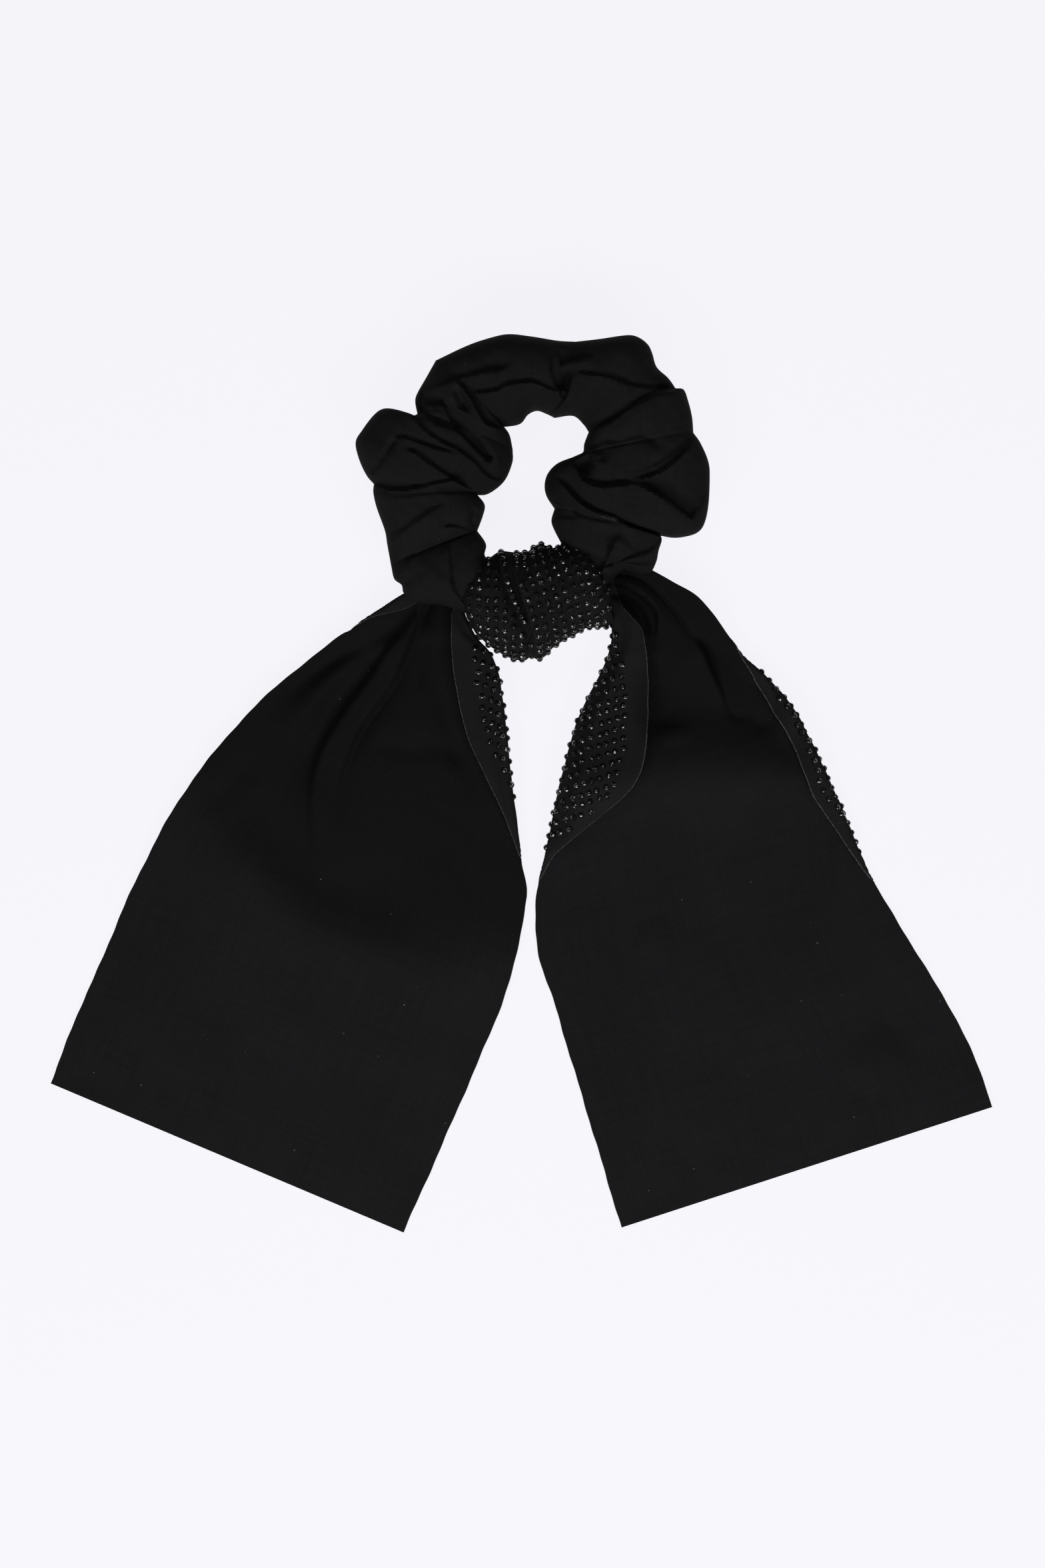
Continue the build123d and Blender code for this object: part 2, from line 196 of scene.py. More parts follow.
@dataclass(frozen=True)
class Fold:
    """A crease in gathered cloth: a crest on one side that drops sharply into a valley."""

    points: tuple[Point, ...]
    crest_side: Side
    crest: float
    valley: float
    crest_reach: float
    valley_reach: float
    fade_start: float = 0.15
    fade_end: float = 0.25
    sharpness: float = 0.7

    def relief(self, x: np.ndarray, y: np.ndarray) -> np.ndarray:
        """Height that this crease adds at each place.

        Args:
            x: Places in plan.
            y: The same, in the other direction.

        Returns:
            Heights, below 0 in the valley.
        """
        signed, share = nearest_on_line(x, y, smooth_line(self.points))
        across = signed * self.crest_side.value
        high = self.crest * np.exp(-np.maximum(across, 0.0) / self.crest_reach)
        low = -self.valley * np.exp(-np.maximum(-across, 0.0) / self.valley_reach)
        step = smoothstep(-self.sharpness, self.sharpness, across)
        return (low + (high - low) * step) * faded(share, self.fade_start, self.fade_end)


@dataclass(frozen=True)
class Ridge:
    """A rounded ridge, or with a negative height a rounded trough, along a line."""

    points: tuple[Point, ...]
    height: float
    width: float
    fade_start: float = 0.2
    fade_end: float = 0.3

    def relief(self, x: np.ndarray, y: np.ndarray) -> np.ndarray:
        """Height that this ridge adds at each place.

        Args:
            x: Places in plan.
            y: The same, in the other direction.

        Returns:
            Heights, below 0 in a trough.
        """
        signed, share = nearest_on_line(x, y, smooth_line(self.points))
        weight = faded(share, self.fade_start, self.fade_end)
        return self.height * np.exp(-((signed / self.width) ** 2)) * weight


def total_relief(x: np.ndarray, y: np.ndarray, folds: tuple[Fold | Ridge, ...]) -> np.ndarray:
    """Height that all the folds add together."""
    return sum((fold.relief(x, y) for fold in folds), np.zeros(x.shape))


def crumpled(x: np.ndarray, y: np.ndarray, *waves: Wave) -> np.ndarray:
    """Add gentle irregular waves together.

    Args:
        x: Places in plan.
        y: The same, in the other direction.
        *waves: Depth of each wave, its length, and a phase that makes it differ from another.

    Returns:
        The height that they add at each place.
    """
    total = np.zeros(x.shape)
    for depth, length, phase in waves:
        turn = 2 * math.pi / length
        total += depth / 3 * (
            np.sin(turn * x + phase) * np.cos(0.83 * turn * y + 1.7 * phase)
            + np.sin(1.31 * turn * (0.6 * x + 0.8 * y) + 2.3 * phase)
            + np.cos(0.71 * turn * (0.8 * x - 0.6 * y) + 0.9 * phase)
        )
    return total


# ------------------------------------------------------------------ meshes
def new_object(name: str, data: bpy.types.ID) -> bpy.types.Object:
    """Put an object into the scene at the origin.

    Args:
        name: Its name.
        data: Its mesh, lamp or camera.

    Returns:
        The object.
    """
    obj = bpy.data.objects.new(name, data)
    bpy.context.scene.collection.objects.link(obj)
    return obj


def grid_object(
    name: str,
    points: np.ndarray,
    uv: np.ndarray,
    wrap_rows: bool = False,
    wrap_columns: bool = False,
    edge_columns: tuple[int, ...] = (),
    edge_rows: tuple[int, ...] = (),
    flip: bool = False,
) -> bpy.types.Object:
    """Make a mesh of quads from rows and columns of points.

    Args:
        name: Name of the object.
        points: Places in millimetres, rows by columns by 3.
        uv: Places on the flat cloth in millimetres, rows by columns by 2.
        wrap_rows: The last row joins the first.
        wrap_columns: The last column joins the first.
        edge_columns: Columns of faces that take the cut-edge material.
        edge_rows: Rows of faces that take the cut-edge material.
        flip: Turn the faces over.

    Returns:
        The new object, with a UV map named Cloth.
    """
    rows, columns = points.shape[:2]
    face_rows = rows if wrap_rows else rows - 1
    face_columns = columns if wrap_columns else columns - 1
    i, j = np.meshgrid(np.arange(face_rows), np.arange(face_columns), indexing="ij")
    i2, j2 = (i + 1) % rows, (j + 1) % columns
    order = [(i, j), (i, j2), (i2, j2), (i2, j)]
    uv_order = [(i, j), (i, j + 1), (i + 1, j + 1), (i + 1, j)]
    if flip:
        order.reverse()
        uv_order.reverse()
    faces = np.stack([(a * columns + b).ravel() for a, b in order], axis=1)
    mesh = bpy.data.meshes.new(name)
    mesh.from_pydata((points.reshape(-1, 3) * MM).tolist(), [], faces.tolist())
    layer = mesh.uv_layers.new(name="Cloth")
    places = np.stack([uv[a, b].reshape(-1, 2) for a, b in uv_order], axis=1)
    layer.data.foreach_set("uv", (places.reshape(-1, 2) * MM).astype(np.float32).ravel())
    index = np.zeros((face_rows, face_columns), np.int32)
    index[:, list(edge_columns)] = EDGE_SLOT
    index[list(edge_rows), :] = EDGE_SLOT
    mesh.polygons.foreach_set("material_index", index.ravel())
    mesh.polygons.foreach_set("use_smooth", np.ones(index.size, bool))
    mesh.validate()
    mesh.update()
    return new_object(name, mesh)


def dress(obj: bpy.types.Object, *finishes: bpy.types.Material) -> None:
    """Give an object its materials.

    Args:
        obj: The object.
        *finishes: The materials, in the order of its slots.
    """
    if obj.data.materials:           # clearing also resets which material each face has
        obj.data.materials.clear()
    for finish in finishes:
        obj.data.materials.append(finish)


def mark(obj: bpy.types.Object, name: str, kind: str, values: np.ndarray) -> None:
    """Store an attribute on the points of a mesh.

    Args:
        obj: The object.
        name: Name of the attribute.
        kind: FLOAT or FLOAT_VECTOR.
        values: A number or a vector for each point.
    """
    attribute = obj.data.attributes.new(name, kind, "POINT")
    field = "value" if kind == "FLOAT" else "vector"
    attribute.data.foreach_set(field, values.astype(np.float32).ravel())


def make_plain(obj: bpy.types.Object) -> None:
    """Turn an object with live modifiers into a plain mesh.

    Args:
        obj: The object.
    """
    graph = bpy.context.evaluated_depsgraph_get()
    plain = bpy.data.meshes.new_from_object(obj.evaluated_get(graph))
    plain.name = obj.name
    old = obj.data
    obj.modifiers.clear()
    obj.data = plain
    if old.users == 0:
        bpy.data.meshes.remove(old)


def thicken(obj: bpy.types.Object, thickness: float, offset: float = 0.0) -> None:
    """Give a cloth surface its thickness, with its rim in the cut-edge material.

    Args:
        obj: The cloth surface.
        thickness: Thickness in millimetres.
        offset: -1 to grow inwards only, 0 to grow both ways.
    """
    solid = obj.modifiers.new("Thickness", "SOLIDIFY")
    solid.thickness = thickness * MM
    solid.offset = offset
    solid.use_even_offset = False
    solid.material_offset = SECOND_SLOT
    solid.material_offset_rim = EDGE_SLOT
    make_plain(obj)
    obj.data.set_sharp_from_angle(angle=math.radians(SHARP_DEGREES))


def hide_cut(cloth: bpy.types.Object, shape: tuple[int, ...], row: int) -> None:
    """Give the rim along one row of a thickened grid the cloth's own finish, where the cloth runs on.

    Args:
        cloth: The thickened cloth, with the grid's points first and their copies after them.
        shape: Rows and columns of the grid.
        row: The row that the other piece of cloth meets.
    """
    rows, columns = shape[:2]
    for face in cloth.data.polygons:
        on_row = all(v % (rows * columns) // columns == row for v in face.vertices)
        if on_row and face.material_index == EDGE_SLOT:
            face.material_index = SECOND_SLOT


def orient_outwards(obj: bpy.types.Object) -> None:
    """Point the faces of a closed shell outwards, by the sign of its volume.

    Args:
        obj: The shell.
    """
    mesh = obj.data
    points = np.empty(len(mesh.vertices) * 3)
    mesh.vertices.foreach_get("co", points)
    mesh.calc_loop_triangles()
    triangles = np.empty(len(mesh.loop_triangles) * 3, np.int32)
    mesh.loop_triangles.foreach_get("vertices", triangles)
    a, b, c = points.reshape(-1, 3)[triangles.reshape(-1, 3)].transpose(1, 0, 2)
    if (a * np.cross(b, c)).sum() < 0:
        mesh.flip_normals()


def surface_normals(points: np.ndarray, closed_columns: bool) -> np.ndarray:
    """Unit normals of a grid surface, pointing along row step x column step.

    Args:
        points: Rows by columns by 3.
        closed_columns: The last column joins the first.

    Returns:
        One normal for each point.
    """
    down = np.gradient(points, axis=0)
    across = np.gradient(points, axis=1)
    if closed_columns:
        across = np.roll(points, -1, 1) - np.roll(points, 1, 1)
    normal = np.cross(down, across)
    return normal / np.maximum(np.linalg.norm(normal, axis=2, keepdims=True), 1e-12)


# ------------------------------------------------------------------ shader pieces
class NodeBuilder:
    """Short way to add and link nodes."""

    def __init__(self, tree: bpy.types.NodeTree) -> None:
        """Work in a node tree."""
        self.tree = tree

    def feed(self, node: bpy.types.Node, sources: dict[str | int, object]) -> None:
        """Link sockets of a node to other nodes' outputs, or set their values.

        Args:
            node: The node.
            sources: An output or a value for each socket, by its name or number.
        """
        for socket, source in sources.items():
            if isinstance(source, bpy.types.NodeSocket):
                self.tree.links.new(source, node.inputs[socket])
            else:
                node.inputs[socket].default_value = source

    def add(self, kind: str, sources: dict | None = None, **values: object) -> bpy.types.Node:
        """Add a node.

        Args:
            kind: Type of the node.
            sources: What its sockets are linked or set to.
            **values: Its properties, which are set first.

        Returns:
            The node.
        """
        node = self.tree.nodes.new(kind)
        for name, value in values.items():
            setattr(node, name, value)
        self.feed(node, sources or {})
        return node

    def math(self, operation: str, a: object, b: object = 0.0, c: object = 0.0) -> bpy.types.NodeSocket:
        """Add a math node and give its result."""
        return self.add("ShaderNodeMath", {0: a, 1: b, 2: c}, operation=operation).outputs[0]

    def mix_colour(self, factor: object, a: object, b: object) -> bpy.types.NodeSocket:
        """Mix two colours, which the mix node takes at 6 and 7, and give the result, which is at 2."""
        return self.add("ShaderNodeMix", {0: factor, 6: a, 7: b}, data_type="RGBA").outputs[2]

    def split(self, vector: object) -> bpy.types.bpy_prop_collection:
        """Take a vector apart and give its X, Y and Z."""
        return self.add("ShaderNodeSeparateXYZ", {0: vector}).outputs

    def noise(self, place: object, scale: float, detail: float, kind: str = "2D") -> bpy.types.NodeSocket:
        """Add a noise texture and give its strength."""
        sources = {"Vector": place, "Scale": scale, "Detail": detail}
        return self.add("ShaderNodeTexNoise", sources, noise_dimensions=kind).outputs["Fac"]

    def bump(self, shader: bpy.types.Node, height: object, strength: float, distance: float) -> None:
        """Let a height show in the normal of a shader."""
        node = self.add("ShaderNodeBump", {"Strength": strength, "Distance": distance, "Height": height})
        self.feed(shader, {"Normal": node.outputs[0]})


def effect_group(name: str, inputs: tuple[str, ...], outputs: tuple[str, ...]) -> tuple:
    """Start a shader node group that works from a place.

    Args:
        name: Name of the group.
        inputs: Names of the numbers that it takes besides the place.
        outputs: Names of the numbers that it gives.

    Returns:
        The group, its builder, its given sockets and its output node.
    """
    group = bpy.data.node_groups.new(name, "ShaderNodeTree")
    group.interface.new_socket("Place", in_out="INPUT", socket_type="NodeSocketVector")
    for way, labels in (("INPUT", inputs), ("OUTPUT", outputs)):
        for label in labels:
            group.interface.new_socket(label, in_out=way, socket_type="NodeSocketFloat")
    builder = NodeBuilder(group)
    return group, builder, builder.add("NodeGroupInput").outputs, builder.add("NodeGroupOutput")


def weave_group() -> bpy.types.NodeTree:
    """Plain weave: warp and weft threads with uneven tension.

    Returns:
        Group with the height of the cloth and the shade of its threads.
    """
    group, b, given, result = effect_group("Weave", ("Threads", "Slub"), ("Height", "Shade"))
    place = b.split(given["Place"])
    turn = b.math("MULTIPLY", given["Threads"], 2 * math.pi)
    across, along = (b.math("SINE", b.math("MULTIPLY", place[k], turn)) for k in (0, 1))
    crossing = b.math("MULTIPLY", across, along)
    streaks = []
    for scale in ((SLUBS_ACROSS, SLUBS_ALONG, 1.0), (SLUBS_ALONG, SLUBS_ACROSS, 1.0)):
        stretched = b.add("ShaderNodeVectorMath", {0: given["Place"], 1: scale}, operation="MULTIPLY")
        streaks.append(b.noise(stretched.outputs[0], 1.0, 2.0))
    slubs = b.math("SUBTRACT", b.math("ADD", *streaks), 1.0)
    uneven = b.math("MULTIPLY", slubs, given["Slub"])
    for label, strength in (("Height", 0.5), ("Shade", 0.25)):
        b.feed(result, {label: b.math("ADD", b.math("MULTIPLY", crossing, strength), uneven)})
    return group


def lint_group() -> bpy.types.NodeTree:
    """Sparse specks of lint and short fibres.

    Returns:
        Group with a mask that is 1 on a speck.
    """
    group, b, given, result = effect_group("Lint", ("Spacing", "Size"), ("Mask",))
    spots = b.add("ShaderNodeTexVoronoi", {"Vector": given["Place"], "Scale": given["Spacing"]},
                  voronoi_dimensions="2D", feature="F1")
    chance = b.add("ShaderNodeSeparateColor", {0: spots.outputs["Color"]}).outputs
    rare = b.math("GREATER_THAN", chance[0], 0.8)
    size = b.math("MULTIPLY", given["Size"], chance[1])
    near = b.math("LESS_THAN", spots.outputs["Distance"], size)
    b.feed(result, {"Mask": b.math("MULTIPLY", rare, near)})
    return group


# ------------------------------------------------------------------ finishes
@dataclass(frozen=True)
class Finish:
    """A procedural material, by its name and its middle colour."""

    name: str
    colour: Colour

    def start(self) -> tuple[bpy.types.Material, NodeBuilder, bpy.types.Node]:
        """Make an empty material.

        Returns:
            The material, its builder and its shader.
        """
        material = bpy.data.materials.new(self.name)
        material.use_nodes = True
        return material, NodeBuilder(material.node_tree), material.node_tree.nodes["Principled BSDF"]

    def tone(self, share: float) -> tuple[float, ...]:
        """The colour made darker or lighter, with its alpha."""
        return tuple(c * share for c in self.colour) + (1.0,)


@dataclass(frozen=True)
class ClothFinish(Finish):
    """Woven cloth, with its threads and ribs counted for each metre."""

    contrast: float
    threads: float
    relief: float
    lint: float = 0.0
    ribs: float = 0.0
    # gathered: how much painted shade darkens the cloth where its gather attribute is 1, above the tails'
    # hump
    gathered: float = 0.0
    slub: float = 0.8
    patch_scale: float = 35.0
    patch_strength: float = 0.35
    tones: Point = (0.55, 1.45)          # darkest and lightest share of the colour
    painted_shade_tone: float = 0.25             # share of the colour left under full painted shade, where the gather mask is 1
    lint_spacing: float = 75.0
    lint_size: float = 0.018
    lint_colour: Colour = (0.22, 0.22, 0.24)
    rib_height: float = 1.2
    roughness: float = 0.88
    shine: float = 0.05

    def make(self, weave: bpy.types.NodeTree, lint: bpy.types.NodeTree) -> bpy.types.Material:
        """Build the material from the shared weave and lint effects.

        Args:
            weave: The weave group.
            lint: The lint group.

        Returns:
            The material.
        """
        material, b, shader = self.start()
        place = b.add("ShaderNodeUVMap", uv_map="Cloth").outputs[0]
        weaving = {"Place": place, "Threads": self.threads, "Slub": self.slub}
        threads = b.add("ShaderNodeGroup", weaving, node_tree=weave)
        shade = b.math("MULTIPLY_ADD", threads.outputs["Shade"], self.contrast, 0.5)
        patches = b.math("SUBTRACT", b.noise(place, self.patch_scale, 3.0), 0.5)
        shade = b.math("MULTIPLY_ADD", patches, self.patch_strength, shade)
        base = b.mix_colour(shade, *(self.tone(share) for share in self.tones))
        # painted shade: the colour is darkened towards the shade tone by the gather attribute, above the
        # tails' hump
        if self.gathered > 0:
            painted_shade_share = b.add("ShaderNodeAttribute", attribute_name="gather").outputs["Fac"]
            base = b.mix_colour(b.math("MULTIPLY", painted_shade_share, self.gathered), base, self.tone(self.painted_shade_tone))
        if self.lint > 0:
            spread = {"Place": place, "Spacing": self.lint_spacing, "Size": self.lint_size}
            specks = b.add("ShaderNodeGroup", spread, node_tree=lint)
            mask = b.math("MULTIPLY", specks.outputs["Mask"], self.lint)
            base = b.mix_colour(mask, base, (*self.lint_colour, 1.0))
        height = threads.outputs["Height"]
        if self.ribs > 0:
            rib = b.math("SINE", b.math("MULTIPLY", b.split(place)[0], self.ribs * 2 * math.pi))
            height = b.math("MULTIPLY_ADD", rib, self.rib_height, height)
        b.feed(shader, {"Base Color": base, "Roughness": self.roughness, "Specular IOR Level": self.shine})
        b.bump(shader, height, self.relief, THREAD_HEIGHT)
        return material


@dataclass(frozen=True)
class EdgeFinish(Finish):
    """Cut edge of the cloth, where pale fibres show."""

    fibre_scale: float = 1400.0
    contrast: float = 2.2
    tones: Point = (0.3, 1.7)
    roughness: float = 0.9
    shine: float = 0.1

    def make(self) -> bpy.types.Material:
        """Build the material.

        Returns:
            The material.
        """
        material, b, shader = self.start()
        fibres = b.noise(b.add("ShaderNodeUVMap", uv_map="Cloth").outputs[0], self.fibre_scale, 3.0)
        spread = b.math("MULTIPLY_ADD", b.math("SUBTRACT", fibres, 0.5), self.contrast, 0.5)
        base = b.mix_colour(spread, *(self.tone(share) for share in self.tones))
        b.feed(shader, {"Base Color": base, "Roughness": self.roughness, "Specular IOR Level": self.shine})
        b.bump(shader, fibres, 0.5, THREAD_HEIGHT / 2)
        return material


@dataclass(frozen=True)
class CrystalFinish(Finish):
    """Black faceted crystal with a mirror-like table."""

    roughness: float
    cloud_scale: float = 420.0           # slow change from one stone to the next
    tones: Point = (0.5, 1.8)

    def make(self) -> bpy.types.Material:
        """Build the material.

        Returns:
            The material.
        """
        material, b, shader = self.start()
        cloud = b.noise(b.add("ShaderNodeTexCoord").outputs["Object"], self.cloud_scale, 1.0, "3D")
        b.feed(shader, {
            "Base Color": b.mix_colour(cloud, *(self.tone(share) for share in self.tones)),
            "Roughness": b.math("MULTIPLY_ADD", cloud, 0.08, self.roughness),
            "IOR": 1.6, "Specular IOR Level": 0.34, "Coat Weight": 0.3, "Coat Roughness": 0.06,
        })
        return material


@dataclass(frozen=True)
class StrandFinish(Finish):
    """Twisted thread or braided elastic."""

    scale: float
    tones: Point = (0.5, 1.6)

    def make(self) -> bpy.types.Material:
        """Build the material.

        Returns:
            The material.
        """
        material, b, shader = self.start()
        place = b.add("ShaderNodeTexCoord").outputs["Object"]
        wave = b.add("ShaderNodeTexWave", {"Vector": place, "Scale": self.scale, "Distortion": 1.5},
                     wave_type="BANDS", bands_direction="DIAGONAL").outputs["Fac"]
        base = b.mix_colour(wave, *(self.tone(share) for share in self.tones))
        b.feed(shader, {"Base Color": base, "Roughness": 0.7})
        b.bump(shader, wave, 0.6, THREAD_HEIGHT)
        return material


class Finishes:
    """All the materials of the scrunchie, made once."""

    def __init__(self) -> None:
        """Build the shared effects and every material."""
        effects = weave_group(), lint_group()
        self.casing = ClothFinish(
            "Casing crepe", (0.0088, 0.0087, 0.0093), contrast=0.5, threads=1900.0, relief=0.35, lint=0.2,
        ).make(*effects)
        # gathered sets the painted shade that darkens the tails above their hump
        self.scarf = ClothFinish(
            "Scarf weave", (0.0089, 0.0088, 0.0096), contrast=0.35, threads=1500.0, relief=0.4, lint=0.4,
            gathered=0.46,
        ).make(*effects)
        self.ribbed = ClothFinish(
            "Ribbed stretch cloth", (0.0112, 0.0112, 0.0119), contrast=0.6, threads=1500.0, relief=0.6,
            ribs=2600.0,
        ).make(*effects)
        # gathered sets the painted shade that darkens the tails above their hump
        self.front = ClothFinish(
            "Scarf front", (0.0115, 0.0113, 0.0122), contrast=0.35, threads=1500.0, relief=0.4, lint=0.2,
            gathered=0.2,
        ).make(*effects)
        self.edge = EdgeFinish("Cut edge", (0.05, 0.05, 0.053)).make()
        self.crystal = CrystalFinish("Black crystal", (0.004, 0.004, 0.0045), roughness=0.05).make()
        self.elastic = StrandFinish("Braided elastic", (0.02, 0.02, 0.021), scale=900.0).make()
        self.thread = StrandFinish("Sewing thread", (0.015, 0.015, 0.016), scale=2500.0).make()


# ------------------------------------------------------------------ crystals
@dataclass(frozen=True)
class Stone:
    """One flat-back crystal: round girdle, two tiers of crown facets and a small table."""

    radius: float = 1.0
    sides: int = 8
    tiers: tuple[Point, ...] = ((1, 0), (1, 0.28), (0.52, 0.76), (0.24, 0.87))  # share of radius, height

    def mesh(self) -> bpy.types.Mesh:
        """Model the stone, standing on its flat back.

        Returns:
            A closed mesh.
        """
        vertices, faces = [], []
        for tier, (share, height) in enumerate(self.tiers):
            for k in range(self.sides):
                turn = 2 * math.pi * (k + 0.5 * (tier % 2)) / self.sides
                radius = self.radius * share
                vertices.append((radius * math.cos(turn) * MM, radius * math.sin(turn) * MM, height * MM))
        for tier in range(len(self.tiers) - 1):
            low, high = tier * self.sides, (tier + 1) * self.sides
            for k in range(self.sides):
                after = (k + 1) % self.sides
                if tier % 2:
                    faces += [(low + k, high + after, high + k), (low + k, low + after, high + after)]
                else:
                    faces += [(low + k, low + after, high + k), (low + after, high + after, high + k)]
        faces.append(tuple(reversed(range(self.sides))))
        faces.append(tuple(range((len(self.tiers) - 1) * self.sides, len(self.tiers) * self.sides)))
        mesh = bpy.data.meshes.new("stone")
        mesh.from_pydata(vertices, [], faces)
        mesh.update()
        return mesh


class StoneSetter:
    """Geometry Nodes tree that sets one stone on every point of a mesh."""

    def __init__(self, material: bpy.types.Material, tilt: float = 0.11) -> None:
        """Build the tree.

        Args:
            material: Finish of the stones.
            tilt: How far a stone may lean each way, in radians.
        """
        self.material = material
        self.pattern = new_object("stone_pattern", Stone().mesh())
        self.pattern.hide_render = True
        self.tree = bpy.data.node_groups.new("Set stones", "GeometryNodeTree")
        self.tree.is_modifier = True
        face = self.tree.interface
        face.new_socket("Geometry", in_out="INPUT", socket_type="NodeSocketGeometry")
        self.seed = face.new_socket("Seed", in_out="INPUT", socket_type="NodeSocketInt").identifier
        face.new_socket("Geometry", in_out="OUTPUT", socket_type="NodeSocketGeometry")
        b = NodeBuilder(self.tree)
        given, result = b.add("NodeGroupInput").outputs, b.add("NodeGroupOutput")
        facing = b.add("GeometryNodeInputNamedAttribute", {"Name": "facing"}, data_type="FLOAT_VECTOR")
        align = b.add("FunctionNodeAlignRotationToVector", {"Vector": facing.outputs["Attribute"]},
                      axis="Z", pivot_axis="AUTO")
        limits = {"Min": (-tilt, -tilt, -math.pi), "Max": (tilt, tilt, math.pi), "Seed": given["Seed"]}
        wobble = b.add("FunctionNodeRandomValue", limits, data_type="FLOAT_VECTOR")
        turn = b.add("FunctionNodeEulerToRotation", {0: wobble.outputs[0]})
        turned = b.add("FunctionNodeRotateRotation", {0: align.outputs[0], 1: turn.outputs[0]},
                       rotation_space="LOCAL")
        pick = b.add("GeometryNodeObjectInfo", {"Object": self.pattern}, transform_space="ORIGINAL")
        placed = b.add("GeometryNodeInstanceOnPoints", {
            "Points": given["Geometry"], "Instance": pick.outputs["Geometry"], "Rotation": turned.outputs[0],
        })
        real = b.add("GeometryNodeRealizeInstances", {0: placed.outputs[0]})
        finish = b.add("GeometryNodeSetMaterial", {"Geometry": real.outputs[0], "Material": material})
        b.feed(result, {0: finish.outputs[0]})

    def place(self, name: str, places: np.ndarray, facing: np.ndarray, seed: int) -> bpy.types.Object:
        """Set stones on a list of places.

        Args:
            name: Name of the finished piece.
            places: Foot of each stone in millimetres.
            facing: Unit vector that each stone's table faces along.
            seed: Seed of the small differences between stones.

        Returns:
            One plain mesh with all the stones.
        """
        mesh = bpy.data.meshes.new(name)
        mesh.from_pydata((places * MM).tolist(), [], [])
        obj = new_object(name, mesh)
        mark(obj, "facing", "FLOAT_VECTOR", facing)
        setter = obj.modifiers.new("Stones", "NODES")
        setter.node_group = self.tree
        setter[self.seed] = seed
        make_plain(obj)
        dress(obj, self.material)
        return obj

    def put_away(self) -> None:
        """Remove the pattern stone when every stone is set."""
        bpy.data.objects.remove(self.pattern, do_unlink=True)


# ------------------------------------------------------------------ the cloth ring
@dataclass(frozen=True)
class Puff:
    """One puff of the ring between two creases, by its outer and inner edge seen from above."""

    outer: tuple[Point, ...]
    inner: tuple[Point, ...]
    half_height: float
    crease_height: float


